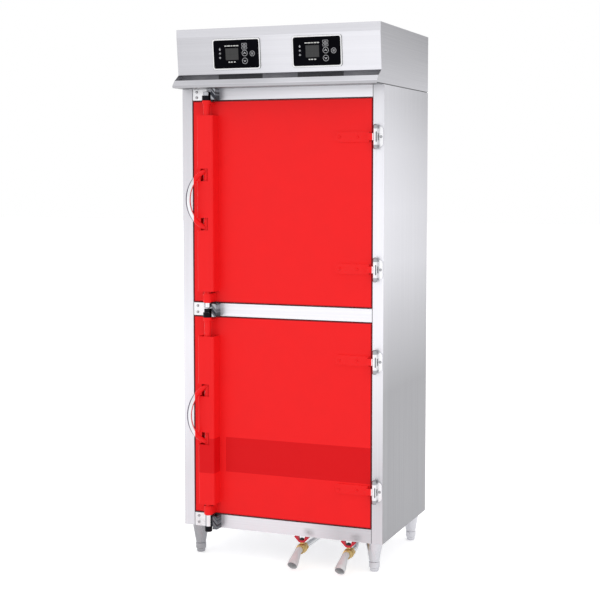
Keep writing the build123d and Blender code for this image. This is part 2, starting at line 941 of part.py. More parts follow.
def rod_cap(end):
    """The round nylon cap pressed over a rod's lower end."""
    z0 = end + rod_cap_cover - rod_cap_height
    cap = upright(rod_x, -rod_standoff, z0, end + rod_cap_cover, rod_cap_diameter)
    cap = fillet(cap.edges().group_by(Axis.Z)[0], rod_cap_cover)
    return cap - upright(rod_x, -rod_standoff, end, end + rod_cap_cover + 1, rod_diameter)


def bow_handle(bottom):
    """The round-bar handle welded to the rod, swung part of the way out at rest."""
    z = handle_z(bottom)
    swing = Pos(rod_x, -rod_standoff, z) * Rot(0, 0, -handle_rest_angle)
    start = (0, -rod_radius * 0.5, handle_half_span + handle_bar * 0.2)
    end = (0, -rod_radius * 0.5, -handle_half_span - handle_bar * 0.2)
    line = ThreePointArc(start, (0, -handle_reach, 0), end)
    bar = sweep(Plane(start, z_dir=line % 0) * Circle(handle_bar / 2), path=line)
    span = handle_half_span + handle_bar
    bar -= upright(0, 0, -2 * span, 2 * span, rod_diameter)
    return swing * bar


def hinge_heights(bottom):
    """The middles of a door's two hinges."""
    return [bottom + hinge_inset, bottom + door_height - hinge_inset]


def hinge_strap(z):
    """The door's half of a hinge: middle knuckle, stepped arm and rounded strap."""
    half = middle_knuckle / 2 - knuckle_clearance
    knuckle = upright(pin_x, -hinge_standoff, z - half, z + half, knuckle_diameter)
    knee_x = door_half_width - strap_knee
    arm_front = -hinge_standoff - leaf_thickness / 2
    arm = block(knee_x, pin_x, arm_front, arm_front + leaf_thickness, z - half, z + half)
    knee = block(knee_x - leaf_thickness, knee_x, arm_front, 0, z - half, z + half)
    x0 = knee_x - strap_length
    strap = block(x0, knee_x, -leaf_thickness, 0, z - strap_height / 2, z + strap_height / 2)
    tips = strap.edges().filter_by(Axis.Y).group_by(Axis.X)[0]
    strap = fillet(tips, strap_height * 0.45)
    bore_diameter = pin_diameter + 2 * pin_running_fit
    bore = upright(pin_x, -hinge_standoff, z - barrel_height, z + barrel_height, bore_diameter)
    piece = knuckle + arm + knee + strap - bore
    for x in strap_screw_places():
        piece -= along_y(x, z, -leaf_thickness - 1, 1, screw_shank)
    return piece


def strap_screw_places():
    """The X of the two screws in a strap."""
    knee_x = door_half_width - strap_knee
    tip = knee_x - strap_length + strap_height / 2
    return [tip, knee_x - strap_length * 0.35]


def hinge_leaf(z):
    """The frame's half of a hinge: a plate on the stile and two outer knuckles."""
    x0 = pin_x - leaf_thickness
    x1 = half_width - leaf_margin
    half = barrel_height / 2
    plate = block(x0, x1, -leaf_thickness, 0, z - half, z + half)
    corners = plate.edges().filter_by(Axis.Y).group_by(Axis.X)[-1]
    plate = fillet(corners, (x1 - x0) * 0.45)
    pieces = [plate]
    r = knuckle_diameter / 2
    gap = middle_knuckle / 2
    for z0, z1 in ((z + gap, z + half), (z - half, z - gap)):
        pieces.append(upright(pin_x, -hinge_standoff, z0, z1, knuckle_diameter))
        pieces.append(block(pin_x - r * 0.6, pin_x + r, -hinge_standoff, -leaf_thickness, z0, z1))
    leaf = joined(pieces) - upright(pin_x, -hinge_standoff, z - half - 1, z + half + 1, pin_diameter)
    return leaf - along_y(leaf_screw_x(), z, -leaf_thickness - 1, 1, screw_shank)


def leaf_screw_x():
    """The X of a leaf's screw."""
    return (pin_x + knuckle_diameter / 2 + half_width - leaf_margin) / 2


def hinge_pin(z):
    """The pin with a round cap at either end."""
    half = barrel_height / 2
    pin = upright(pin_x, -hinge_standoff, z - half, z + half, pin_diameter)
    top = upright(pin_x, -hinge_standoff, z + half, z + half + pin_cap_height, pin_cap_diameter)
    top = fillet(top.edges().group_by(Axis.Z)[-1], pin_cap_height * 0.6)
    low = upright(pin_x, -hinge_standoff, z - half - pin_cap_height, z - half, pin_cap_diameter)
    low = fillet(low.edges().group_by(Axis.Z)[0], pin_cap_height * 0.6)
    return pin + top + low


def keeper(z0, z1):
    """A plate on a rail with a bent bracket at its right, whose front lip the cams turn behind."""
    lip_back = -rod_standoff - keeper_lip_gap
    lip_front = lip_back - keeper_sheet
    web = rod_x + keeper_web
    pieces = [
        block(rod_x - keeper_tail, web, -keeper_plate, 0, z0, z1),
        block(web, web + keeper_sheet, lip_front, 0, z0, z1),
        block(rod_x + keeper_lip_start, web + keeper_sheet, lip_front, lip_back, z0, z1),
    ]
    bracket = joined(pieces)
    for z in keeper_screw_heights(z0, z1):
        bracket -= along_y(keeper_screw_x(), z, -keeper_plate - 1, 1, screw_shank)
    return bracket


def keeper_screw_x():
    """The X of a keeper's screws."""
    return rod_x - keeper_screw


def keeper_screw_heights(z0, z1):
    """The heights of a keeper's two screws."""
    return [z0 + (z1 - z0) * 0.25, z1 - (z1 - z0) * 0.25]


def keeper_spans():
    """The heights that the three keepers cover."""
    edge = door_gap / 2
    return [
        (body_bottom + edge, lower_door_bottom - door_gap),
        (middle_rail_bottom, upper_door_bottom - door_gap),
        (top_rail_bottom, body_top - edge),
    ]


# Feet

def foot(x, y):
    """A bullet foot: fixed leg with a flange, and the threaded adjuster in it."""
    line = Polyline(
        (0, foot_height), (foot_flange_diameter / 2, foot_height),
        (foot_flange_diameter / 2, foot_height - foot_flange),
        (foot_top_diameter / 2, foot_height - foot_flange),
        (foot_waist_diameter / 2, foot_ring_top), (0, foot_ring_top), close=True,
    )
    leg = revolve(Plane.XZ * make_face(line), Axis.Z)
    leg -= upright(0, 0, foot_ring_top - 1, foot_ring_top + foot_stud_length, foot_stud_diameter)
    stud = upright(0, 0, foot_ring_top, foot_ring_top + foot_stud_length, foot_stud_diameter)
    ring = upright(0, 0, foot_ring_bottom, foot_ring_top, foot_ring_diameter)
    ring = chamfer(ring.edges().filter_by(GeomType.CIRCLE), foot_ring_chamfer)
    tip = upright(0, 0, 0, foot_ring_bottom, foot_tip_diameter)
    tip = fillet(tip.edges().group_by(Axis.Z)[0], foot_ring_bottom * 0.4)
    return [Pos(x, y, 0) * leg, Pos(x, y, 0) * (stud + ring + tip)]


# Drains

def upper_drain_z():
    """Height of the outlet in the upper pan's rear wall."""
    return pan_floor(upper_door_bottom) + upper_drain_above_pan


def drain_back_y():
    """Y of the drain pipe that runs down inside the rear insulation."""
    return (liner_back + cabinet_depth) / 2


def lower_drain_y():
    """Y of the lower pan's drain hole."""
    return frame_depth + pan_front_clearance + pan_sheet + pipe_bend_radius + pipe_diameter


def valve_rear():
    """Y of the valve bodies' rear faces."""
    return valve_behind_front + valve_body_length / 2


def lower_drain_tube(diameter):
    """The straight drop from the lower pan's floor."""
    z1 = pan_floor(lower_door_bottom)
    return upright(valve_x["right"], lower_drain_y(), body_bottom, z1 + 1, diameter)


def lower_drain_space():
    """The clearance round the lower drain inside the base."""
    z1 = chamber_bottom(lower_door_bottom) - sheet
    clear = pipe_diameter + 2 * pipe_hole_clearance
    return upright(valve_x["right"], lower_drain_y(), body_bottom - 1, z1, clear)


def upper_drain_space():
    """The clearance round the upper drain inside the rear wall and the base."""
    clear = pipe_diameter + 2 * pipe_hole_clearance
    x = valve_x["left"]
    top = upper_drain_z() + pipe_diameter + pipe_hole_clearance
    drop = upright(x, drain_back_y(), body_bottom - 1, top, clear)
    stub = along_y(x, upper_drain_z(), liner_back + sheet, drain_back_y(), clear)
    return drop + stub


def elbow_run(x, y, z_top, diameter):
    """A pipe that drops from a height and turns forward to a valve."""
    line = FilletPolyline(
        (x, y, z_top), (x, y, valve_height), (x, valve_rear(), valve_height), radius=pipe_bend_radius
    )
    return sweep(Plane((x, y, z_top), z_dir=(0, 0, -1)) * Circle(diameter / 2), path=line)


def lower_drain():
    """The pipe from the lower pan's floor to the right-hand valve."""
    x = valve_x["right"]
    y = lower_drain_y()
    top = pan_floor(lower_door_bottom)
    bore = pipe_diameter - 2 * pipe_wall
    return elbow_run(x, y, top, pipe_diameter) - elbow_run(x, y, top, bore)


def upper_drain():
    """The pipe from the upper pan's rear wall, down the back and forward to the left-hand valve."""
    x = valve_x["left"]
    y = drain_back_y()
    z = upper_drain_z()
    top = z + pipe_diameter
    bore = pipe_diameter - 2 * pipe_wall
    stub_start = liner_back - pan_sheet
    stub_bore = drain_stub_diameter - 2 * pipe_wall
    outer = elbow_run(x, y, top, pipe_diameter) + along_y(x, z, stub_start, y, drain_stub_diameter)
    inner = elbow_run(x, y, top - pipe_wall, bore) + along_y(x, z, stub_start - 1, y, stub_bore)
    return outer - inner


def valve_body(x):
    """The brass ball valve: hexagon ends, round waist and stem neck."""
    y_front = valve_behind_front - valve_body_length / 2
    y_back = valve_rear()
    hex_radius = valve_hex / 2 / math.cos(math.radians(30))
    end = valve_body_length * 0.22
    pieces = [Pos(x, valve_behind_front, valve_height) * Sphere(valve_waist / 2)]
    for y0 in (y_front, y_back - end):
        base = Plane((x, y0, valve_height), x_dir=(1, 0, 0), z_dir=(0, 1, 0))
        pieces.append(extrude(base * RegularPolygon(hex_radius, 6), end))
    pieces.append(along_y(x, valve_height, y_front + end, y_back - end, valve_hex * 0.85))
    neck_top = valve_height + stem_neck_top
    pieces.append(upright(x, valve_behind_front, valve_height, neck_top, stem_neck_diameter))
    body = joined(pieces)
    body -= along_y(x, valve_height, y_front - 1, y_back + 1, valve_bore)
    body -= Pos(x, valve_behind_front, valve_height) * Sphere(ball_diameter / 2 + ball_clearance)
    stem_hole = stem_diameter + 2 * stem_running_fit
    return body - upright(x, valve_behind_front, valve_height, neck_top + 1, stem_hole)


def valve_lever(x):
    """The wing lever, and the stem and ball that it turns."""
    centre = Pos(x, valve_behind_front, valve_height)
    ball = centre * Sphere(ball_diameter / 2)
    ball -= centre * Rot(0, 90, 0) * Cylinder(valve_bore / 2, ball_diameter)
    hub_bottom = valve_height + stem_neck_top + lever_gap
    hub_top = hub_bottom + lever_hub_height
    stem_start = valve_height + valve_bore / 2 + 1
    stem = upright(x, valve_behind_front, stem_start, hub_top, stem_diameter)
    hub = upright(x, valve_behind_front, hub_bottom, hub_top, lever_hub_diameter)
    root = lever_hub_diameter / 2
    tip = hub_bottom + lever_rise
    notch = lever_notch / 2
    outline = Polyline(
        (-root, hub_bottom), (root, hub_bottom), (lever_half_span, tip - lever_tip),
        (lever_half_span - lever_tip, tip), (notch, tip), (root, hub_top), (-root, hub_top), (-notch, tip),
        (-lever_half_span + lever_tip, tip), (-lever_half_span, tip - lever_tip), close=True,
    )
    plane = Plane((x, valve_behind_front + lever_thickness / 2, 0), x_dir=(1, 0, 0), z_dir=(0, -1, 0))
    wing = extrude(plane * make_face(outline), lever_thickness)
    turned = hub + wing - upright(x, valve_behind_front, hub_bottom - 1, tip + 1, stem_diameter)
    return [turned, ball + stem]


def drain_spout(x):
    """The flared outlet, which droops forward from the valve."""
    y0 = valve_behind_front - valve_body_length / 2
    joint = y0 - spout_collar
    r = spout_collar_diameter / 2
    droop = Pos(x, joint, valve_height) * Rot(90 + spout_droop, 0, 0)
    low = (Align.CENTER, Align.CENTER, Align.MIN)
    cone = droop * Cone(r, spout_end_diameter / 2, spout_length, align=low)
    far = droop * Pos(0, 0, spout_length)
    hose_end = far * Cylinder(spout_end_diameter / 2, spout_hose_end, align=low)
    knee = Pos(x, joint, valve_height) * Sphere(r)
    outer = along_y(x, valve_height, joint, y0, spout_collar_diameter) + knee + cone + hose_end
    inner_cone = droop * Cone(
        r - 2 * spout_wall, spout_end_diameter / 2 - spout_wall, spout_length, align=low
    )
    inner_end = far * Cylinder(spout_end_diameter / 2 - spout_wall, spout_hose_end + 1, align=low)
    bore = along_y(x, valve_height, joint, y0 + 1, valve_bore)
    heart = Pos(x, joint, valve_height) * Sphere(valve_bore / 2)
    return outer - inner_cone - inner_end - bore - heart


# Water inlet and gland

def water_inlet():
    """The threaded rear inlet with its nut, elbow block and the feed pipe up to both pans."""
    x = inlet_x
    y = drain_back_y()
    top = pan_floor(upper_door_bottom) + feed_above_pan
    stub = along_y(x, inlet_height, y, cabinet_depth + inlet_reach, inlet_diameter)
    nut_plane = Plane((x, cabinet_depth, inlet_height), x_dir=(1, 0, 0), z_dir=(0, 1, 0))
    nut_radius = inlet_nut_across / 2 / math.cos(math.radians(30))
    nut = extrude(nut_plane * RegularPolygon(nut_radius, 6), inlet_nut)
    rise = upright(x, y, inlet_height, top + feed_diameter / 2, feed_diameter)
    pieces = [stub, nut, rise]
    for bottom in door_bottoms.values():
        z = pan_floor(bottom) + feed_above_pan
        pieces.append(along_y(x, z, liner_back - pan_sheet, y, feed_diameter))
    inlet = joined(pieces)
    bore = feed_diameter - 2 * feed_wall
    inlet -= along_y(x, inlet_height, y + bore, cabinet_depth + inlet_reach + 1, inlet_bore)
    inlet -= along_y(x, inlet_height, y, y + bore + 1, bore)
    inlet -= upright(x, y, inlet_height, top, bore)
    for bottom in door_bottoms.values():
        z = pan_floor(bottom) + feed_above_pan
        inlet -= along_y(x, z, liner_back - pan_sheet - 1, y, bore)
    return inlet


def cable_gland():
    """The mains cable gland in the hood's back, with an open bore."""
    x = gland_x
    z = body_top + gland_height
    y_in = cabinet_depth - 2 * sheet
    y_out = cabinet_depth - sheet
    radius = gland_nut_across / 2 / math.cos(math.radians(30))
    outer_plane = Plane((x, y_out, z), x_dir=(1, 0, 0), z_dir=(0, 1, 0))
    inner_plane = Plane((x, y_in - gland_nut, z), x_dir=(1, 0, 0), z_dir=(0, 1, 0))
    dome = along_y(x, z, y_out + gland_nut, y_out + gland_reach, gland_nut_across * 0.86)
    dome = fillet(dome.edges().group_by(Axis.Y)[-1], gland_dome_round)
    body = joined([
        extrude(outer_plane * RegularPolygon(radius, 6), gland_nut),
        extrude(inner_plane * RegularPolygon(radius, 6), gland_nut),
        along_y(x, z, y_in, y_out, gland_hole),
        dome,
    ])
    return body - along_y(x, z, y_in - gland_nut - 1, y_out + gland_reach + 1, gland_bore)


# Screws

def frame_screws():
    """Every screw in the hinge leaves, the keepers and the rear covers."""
    screws = []
    for bottom in door_bottoms.values():
        for z in hinge_heights(bottom):
            screws.append(screw(facing_front(leaf_screw_x(), -leaf_thickness, z), leaf_thickness))
        for x, z in cover_screw_places(bottom):
            screws.append(screw(facing_rear(x, cabinet_depth + frame_wall, z), frame_wall))
    for z0, z1 in keeper_spans():
        for z in keeper_screw_heights(z0, z1):
            screws.append(screw(facing_front(keeper_screw_x(), -keeper_plate, z), keeper_plate))
    return screws


def door_screws(bottom):
    """The screws in a door's hinge straps."""
    return [
        screw(facing_front(x, -leaf_thickness, z), leaf_thickness)
        for z in hinge_heights(bottom)
        for x in strap_screw_places()
    ]


# All sub-parts

def cabinet_nodes():
    """Every sub-part's solids by name, except the doors'."""
    pans = [wall for bottom in door_bottoms.values() for wall in water_pan(bottom)]
    racks = [
        piece
        for bottom in door_bottoms.values()
        for side in (-1, 1)
        for piece in tray_rack(bottom, side)
    ]
    all_hinges = [z for bottom in door_bottoms.values() for z in hinge_heights(bottom)]
    feet = [piece for x, y in foot_places for piece in foot(x, y)]
    contactors = [contactor(side * contactor_spacing / 2) for side in (-1, 1)]
    panels = panel_places()
    return {
        "left_stile": [stile(-1)],
        "right_stile": [stile(1)],
        "top_rail": [rail(top_rail_bottom, body_top)],
        "middle_rail": [rail(middle_rail_bottom, upper_door_bottom - door_gap)],
        "bottom_rail": [rail(body_bottom, lower_door_bottom - door_gap)],
        "left_side_panel": [side_panel(-1)],
        "right_side_panel": [side_panel(1)],
        "back_panel": [back_panel()],
        "base_plate": [base_plate()],
        "wall_insulation": wall_insulation(),
        "upper_liner": [liner(upper_door_bottom)],
        "lower_liner": [liner(lower_door_bottom)],
        "water_pans": pans,
        "steam_plates": [steam_plate(bottom) for bottom in door_bottoms.values()],
        "heating_elements": [heating_element(bottom) for bottom in door_bottoms.values()],
        "tray_racks": racks,
        "rear_covers": [rear_cover(bottom) for bottom in door_bottoms.values()],
        "hood_lid": [hood_lid()],
        "hood_front": [hood_front()],
        "hood_cheeks": [hood_cheek(-1), hood_cheek(1)],
        "hood_ledge": [hood_ledge()],
        "hood_floor": [hood_floor()],
        "hood_back": [hood_back()],
        "vent_grille": [vent_grille()] + [vent_filter(x) for x in panels.values()],
        "left_control_panel": [control_panel(panels["left"])],
        "right_control_panel": [control_panel(panels["right"])],
        "control_boards": [control_board(x) for x in panels.values()],
        "switchgear": contactors + [terminal_block()],
        "cable_gland": [cable_gland()],
        "water_inlet": [water_inlet()],
        "hinge_leaves": [hinge_leaf(z) for z in all_hinges],
        "hinge_pins": [hinge_pin(z) for z in all_hinges],
        "latch_keepers": [keeper(z0, z1) for z0, z1 in keeper_spans()],
        "feet": feet,
        "drain_pipes": [lower_drain(), upper_drain()],
        "drain_valve_bodies": [valve_body(x) for x in valve_x.values()],
        "drain_spouts": [drain_spout(x) for x in valve_x.values()],
        "left_valve_lever": valve_lever(valve_x["left"]),
        "right_valve_lever": valve_lever(valve_x["right"]),
        "frame_screws": frame_screws(),
    }


def door_nodes(which):
    """Every sub-part that one door carries, by name."""
    bottom = door_bottoms[which]
    pieces = {
        "door_skin": [door_skin(bottom)],
        "door_pan": [door_pan(bottom)],
        "door_insulation": [door_insulation(bottom)],
        "door_gasket": [door_gasket(bottom)],
        "lock_cover": [lock_cover(which)],
        "rod_guides": rod_guides(bottom),
        "hinge_straps": [hinge_strap(z) for z in hinge_heights(bottom)],
        "door_screws": door_screws(bottom),
        "lock_rod": lock_rod(which),
        "bow_handle": [bow_handle(bottom)],
    }
    return {which + "_" + name: solids for name, solids in pieces.items()}


def export_all():
    """Write one STEP file for each sub-part."""
    os.makedirs("parts", exist_ok=True)
    nodes = cabinet_nodes()
    for which in door_bottoms:
        nodes.update(door_nodes(which))
    place = Pos(0, front_plane_y, 0)
    for name, pieces in nodes.items():
        solids = [place * solid for piece in pieces for solid in piece.solids()]
        whole = solids[0] if len(solids) == 1 else Compound(children=solids)
        export_step(whole, "parts/" + name + ".step")


def print_places():
    """Print the joint axes and the mounts, in the cabinet's own frame."""
    y0 = front_plane_y
    print("front plane", round(y0, 3), "top", hood_top)
    print("hinge axis", pin_x, round(y0 - hinge_standoff, 3))
    print("rod axis", rod_x, round(y0 - rod_standoff, 3))
    print("valve stems", valve_x, round(y0 + valve_behind_front, 3), valve_height)
    print("inlet", inlet_x, round(y0 + cabinet_depth + inlet_reach, 3), inlet_height)
    gland_end = y0 + cabinet_depth - sheet + gland_reach
    print("gland", gland_x, round(gland_end, 3), body_top + gland_height)
    pan_rims = [chamber_bottom(bottom) + pan_height for bottom in door_bottoms.values()]
    print("doors", door_bottoms, "pan rims", pan_rims)


export_all()
print_places()
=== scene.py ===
"""Looks of the rice steamer cabinet: materials, panel details, studio and camera."""
import math

import bmesh
import bpy
from mathutils import Matrix, Vector


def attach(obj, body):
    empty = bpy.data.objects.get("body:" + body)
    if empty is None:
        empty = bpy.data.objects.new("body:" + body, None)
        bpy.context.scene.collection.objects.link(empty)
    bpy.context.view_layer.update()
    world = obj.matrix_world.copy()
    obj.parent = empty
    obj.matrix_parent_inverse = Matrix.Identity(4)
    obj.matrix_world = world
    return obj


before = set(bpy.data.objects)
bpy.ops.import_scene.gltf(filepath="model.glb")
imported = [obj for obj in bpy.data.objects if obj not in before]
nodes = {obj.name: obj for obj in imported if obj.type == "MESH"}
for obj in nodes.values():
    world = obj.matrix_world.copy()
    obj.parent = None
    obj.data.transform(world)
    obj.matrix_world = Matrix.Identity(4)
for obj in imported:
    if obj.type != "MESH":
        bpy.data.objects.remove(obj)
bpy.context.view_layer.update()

# Directions of the shared frame
RIGHT = (1.0, 0.0, 0.0)
BACK = (0.0, 1.0, 0.0)
UP = (0.0, 0.0, 1.0)

# Places repeated from the cabinet's sizes, in metres
HALF_WIDTH = 0.350
BODY_DEPTH = 0.480
FRONT = -0.207952
LIP_BOTTOM = 1.719
FACE_BOTTOM = 1.600
FACE_LEAN = 0.012 / 0.119
FACE_STEP = 0.034
PANEL_X = {"left": -0.1385, "right": 0.1385}
PANEL_RISE = 0.003
PANEL_FACE = 0.0025
DISPLAY_FLOOR = PANEL_FACE - 0.0006
DISPLAY_CENTRE = -0.015
DISPLAY_SIZE = (0.046, 0.038)
LEDGE_LIP_TOP = 1.5635
SLOT_FIELD = (0.0605, 0.2165)
DOOR_HALF_WIDTH = 0.311
DOOR_SPANS = {"lower": (0.148, 0.808), "upper": (0.856, 1.516)}
COVER_RIGHT = -0.219
BAND_LEFT = COVER_RIGHT + 0.022
BAND_SPAN = (0.292, 0.408)
KEEPER_WEB = -0.260
GUIDE_RISE = 0.0162
ROD_CAP_TOP = 0.111
RAIL_END = 0.3116
# Where the soft darker patches lie on the bottom rail, above the valves
VALVE_PATCH_SPAN = (0.106, 0.124)
VALVE_PATCH_BESIDE_STEM = (0.018, 0.040)
VALVE_STEMS = {"left_valve": 0.070, "right_valve": 0.232}
STEM_Y = FRONT + 0.012
HUB_TOP = 0.0844
HINGE_HEIGHTS = (0.270, 0.686, 0.978, 1.394)
HINGE_SLOT = (0.3290, 0.3315)
HINGE_SLOT_HALF = 0.016
BARREL_RIGHT = 0.334
BARREL_MIDDLE_HALF = 0.025

# Half the width of a mask's sharp edge, in metres
SHARP = 0.0002

# Slanting planes at which the red finish of handles and straps ends
HANDLE_SLOPE = 0.494
STRAP_SLOPE = 0.333
HANDLE_RED_END = -DOOR_HALF_WIDTH + HANDLE_SLOPE * FRONT
STRAP_RED_END = DOOR_HALF_WIDTH + STRAP_SLOPE * FRONT

# The way that the outer side of handles and rods faces, where a dark reflection is painted
OUTER_SIDE = (-0.893, -0.45, 0.0)

# Colours, and the red finish's dull shine
RED_SPECULAR = 0.12
STEEL = (0.70, 0.702, 0.735)
BRIGHT = (0.72, 0.725, 0.745)
RED = (0.905, 0.015, 0.017)
BAND = (0.72, 0.005, 0.008)
# Painted shade of the gap round each door
RED_GAP_SHADE = (0.10, 0.012, 0.016)
BUSH = (0.010, 0.010, 0.012)
# Painted dark reflection on the outer side of handles and rods
FLANK_REFLECTION = (0.07, 0.05, 0.09)
STREAK_SHADE = (0.05, 0.05, 0.06)
HINGE_SHADE = (0.06, 0.06, 0.07)

# Frequencies of the grain along the three axes
GRAIN_ACROSS = (1.5, 1.5, 420)
GRAIN_UPRIGHT = (420, 420, 1.5)
GRAIN_BACK = (420, 1.5, 420)
SMEARS = (60, 60, 25)


# Materials, kept by their names
materials = {}


class Surface:
    """A Principled material with its nodes at hand; masks and factors are sockets of its nodes."""

    def __init__(self, name, rough, metallic=0.0, specular=0.5):
        material = bpy.data.materials.new(name)
        material.use_nodes = True
        materials[name] = material
        self.tree = material.node_tree
        self.shader = self.tree.nodes["Principled BSDF"]
        self.shader.inputs["Roughness"].default_value = rough
        self.shader.inputs["Metallic"].default_value = metallic
        self.shader.inputs["Specular IOR Level"].default_value = specular
        coordinates = self.tree.nodes.new("ShaderNodeTexCoord")
        self.place = coordinates.outputs["Object"]
        self.normal = coordinates.outputs["Normal"]

    def node(self, kind, **values):
        made = self.tree.nodes.new(kind)
        for key, value in values.items():
            setattr(made, key, value)
        return made

    def link(self, a, b):
        self.tree.links.new(a, b)

    def mapped(self, factor, from_low, from_high, to_low=0.0, to_high=1.0):
        """A factor carried over from one range of numbers to another, and held within it."""
        mapping = self.node("ShaderNodeMapRange")
        mapping.inputs["From Min"].default_value = from_low
        mapping.inputs["From Max"].default_value = from_high
        mapping.inputs["To Min"].default_value = to_low
        mapping.inputs["To Max"].default_value = to_high
        self.link(factor, mapping.inputs["Value"])
        return mapping.outputs["Result"]

    def noise(self, stretch, detail):
        """A noise stretched along the axes by a vector of frequencies."""
        mapping = self.node("ShaderNodeMapping")
        mapping.inputs["Scale"].default_value = stretch
        self.link(self.place, mapping.inputs["Vector"])
        texture = self.node("ShaderNodeTexNoise")
        texture.inputs["Scale"].default_value = 1.0
        texture.inputs["Detail"].default_value = detail
        self.link(mapping.outputs["Vector"], texture.inputs["Vector"])
        return texture.outputs["Fac"]

    def ramp(self, factor, stops):
        """Colours along a factor, as (position, colour) pairs."""
        ramp = self.node("ShaderNodeValToRGB")
        elements = ramp.color_ramp.elements
        while len(elements) < len(stops):
            elements.new(0.5)
        for element, (position, colour) in zip(elements, stops):
            element.position = position
            element.color = (*colour, 1.0)
        self.link(factor, ramp.inputs["Fac"])
        return ramp.outputs["Color"]

    def spread(self, factor, low, high):
        """A noise's middle range stretched over a range of numbers."""
        return self.mapped(factor, 0.3, 0.7, low, high)

    def mix(self, factor, a, b):
        """One colour over another by a factor."""
        mixed = self.node("ShaderNodeMix", data_type="RGBA")
        self.link(factor, mixed.inputs["Factor"])
        for value, socket in ((a, mixed.inputs["A"]), (b, mixed.inputs["B"])):
            if isinstance(value, tuple):
                socket.default_value = (*value, 1.0)
            else:
                self.link(value, socket)
        return mixed.outputs["Result"]

    def along(self, direction):
        """The place along a direction, in metres."""
        along = self.node("ShaderNodeVectorMath", operation="DOT_PRODUCT")
        self.link(self.place, along.inputs[0])
        along.inputs[1].default_value = direction
        return along.outputs["Value"]

    def rise(self, direction, low, high):
        """0 at one place along a direction and 1 at another."""
        return self.mapped(self.along(direction), low, high)

    def step(self, direction, place, soft):
        """0 below a place along a direction and 1 above it, or the other way round for a minus soft."""
        return self.rise(direction, place - soft, place + soft)

    def times(self, a, b):
        """Two factors multiplied; either may be a plain number."""
        both = self.node("ShaderNodeMath", operation="MULTIPLY")
        for value, socket in ((a, both.inputs[0]), (b, both.inputs[1])):
            if isinstance(value, float):
                socket.default_value = value
            else:
                self.link(value, socket)
        return both.outputs["Value"]

    def span(self, direction, low, high, soft=0.0005):
        """1 between two places along a direction, with a soft edge."""
        return self.times(self.step(direction, low, soft), self.step(direction, high, -soft))

    def facing(self, direction, low, high):
        """0 to 1 as the surface turns towards a direction of the object's own."""
        turned = self.node("ShaderNodeVectorMath", operation="DOT_PRODUCT")
        self.link(self.normal, turned.inputs[0])
        turned.inputs[1].default_value = direction
        return self.mapped(turned.outputs["Value"], low, high)

    def either(self, factors):
        """The highest of several factors."""
        highest = factors[0]
        for factor in factors[1:]:
            both = self.node("ShaderNodeMath", operation="MAXIMUM")
            self.link(highest, both.inputs[0])
            self.link(factor, both.inputs[1])
            highest = both.outputs["Value"]
        return highest

    def colour(self, source):
        self.link(source, self.shader.inputs["Base Color"])

    def rough(self, source):
        self.link(source, self.shader.inputs["Roughness"])

    def bump(self, factor, strength, distance):
        bump = self.node("ShaderNodeBump")
        bump.inputs["Strength"].default_value = strength
        bump.inputs["Distance"].default_value = distance
        self.link(factor, bump.inputs["Height"])
        self.link(bump.outputs["Normal"], self.shader.inputs["Normal"])


def shade(colour, factor):
    """A colour made lighter or darker."""
    return tuple(min(1.0, part * factor) for part in colour)


def tinted(level):
    """Steel of a lightness, a little bluer than grey."""
    return (level, level * 0.998, min(1.0, level * 1.055))


def brushed(name, colour, grain, rough=0.34, metallic=0.85, contrast=0.05):
    """Brushed sheet steel: long streaks across the grain's two dense axes, and broad soft patches."""
    s = Surface(name, rough, metallic=metallic)
    streaks = s.noise(grain, detail=5.0)
    patches = s.noise((2.2, 2.2, 1.6), detail=2.0)
    streaked = s.ramp(streaks, [(0.3, shade(colour, 1 - contrast)), (0.7, shade(colour, 1 + contrast))])
    s.colour(s.mix(s.spread(patches, 0.0, 0.35), streaked, shade(colour, 0.93)))
    s.rough(s.spread(streaks, rough - 0.06, rough + 0.08))
    s.bump(streaks, 0.12, 0.0002)


def toned(s, direction, places):
    """Steel whose lightness drifts along a direction as painted reflections and shade, and how far along it
    is.
    """
    low, high = places[0][0], places[-1][0]
    reach = s.rise(direction, low, high)
    stops = [((place - low) / (high - low), tinted(level)) for place, level in places]
    return s.ramp(reach, stops), reach


def graded(name, direction, places, grain, rough=0.38, metallic=0.8, dim=None, streak=0.05, marks=()):
    """Brushed steel with painted reflections: its lightness drifts along a direction, as broad soft
    reflections would make it.

    places are (metres along the direction, lightness) of the painted reflections; dim is a
    (direction, from, to, share) that paints shade on the sheet along a second direction, within the
    first one's upper half; marks are (mask, lightness or tones along the direction) laid over it,
    painted shade and reflections among them.
    """
    s = Surface(name, rough, metallic=metallic)
    colour, reach = toned(s, direction, places)
    if dim:
        share = s.times(s.rise(dim[0], dim[1], dim[2]), reach)
        colour = s.mix(s.times(share, dim[3]), colour, (0.0, 0.0, 0.0))
    for mask, level in marks:
        over = tinted(level) if isinstance(level, float) else toned(s, direction, level)[0]
        colour = s.mix(mask(s), colour, over)
    streaks = s.noise(grain, detail=5.0)
    fine = s.times(s.spread(streaks, 0.0, 1.0), streak)
    s.colour(s.mix(fine, colour, STREAK_SHADE))
    s.rough(s.spread(streaks, rough - 0.06, rough + 0.08))
    s.bump(streaks, 0.1, 0.0002)


def red_base(s, colour, band=None):
    """The red finish's colour with a faint mottle, and a plain darker band where one is asked for."""
    mottle = s.noise((14, 14, 14), detail=6.0)
    base = s.ramp(mottle, [(0.35, shade(colour, 0.985)), (0.65, shade(colour, 1.01))])
    if band:
        base = s.mix(band, base, BAND)
    return base, mottle


def painted(name, colour, rough=0.38, band_left=None, door=None):
    """The red finish of the doors, with the door gap's shade painted along the edges of the door that is
    named.

    band_left is where the darker band starts, on a piece that carries it.
    """
    s = Surface(name, rough, specular=RED_SPECULAR)
    band = None
    if band_left is not None:
        band = s.times(s.span(UP, *BAND_SPAN), s.span(RIGHT, band_left, 1.0))
    base, mottle = red_base(s, colour, band)
    if door:
        base = s.mix(s.times(edges(s, door), 0.72), base, RED_GAP_SHADE)
    s.colour(base)
    s.rough(s.spread(mottle, rough - 0.04, rough + 0.06))
    s.bump(s.noise((420, 420, 420), detail=2.0), 0.06, 0.0001)


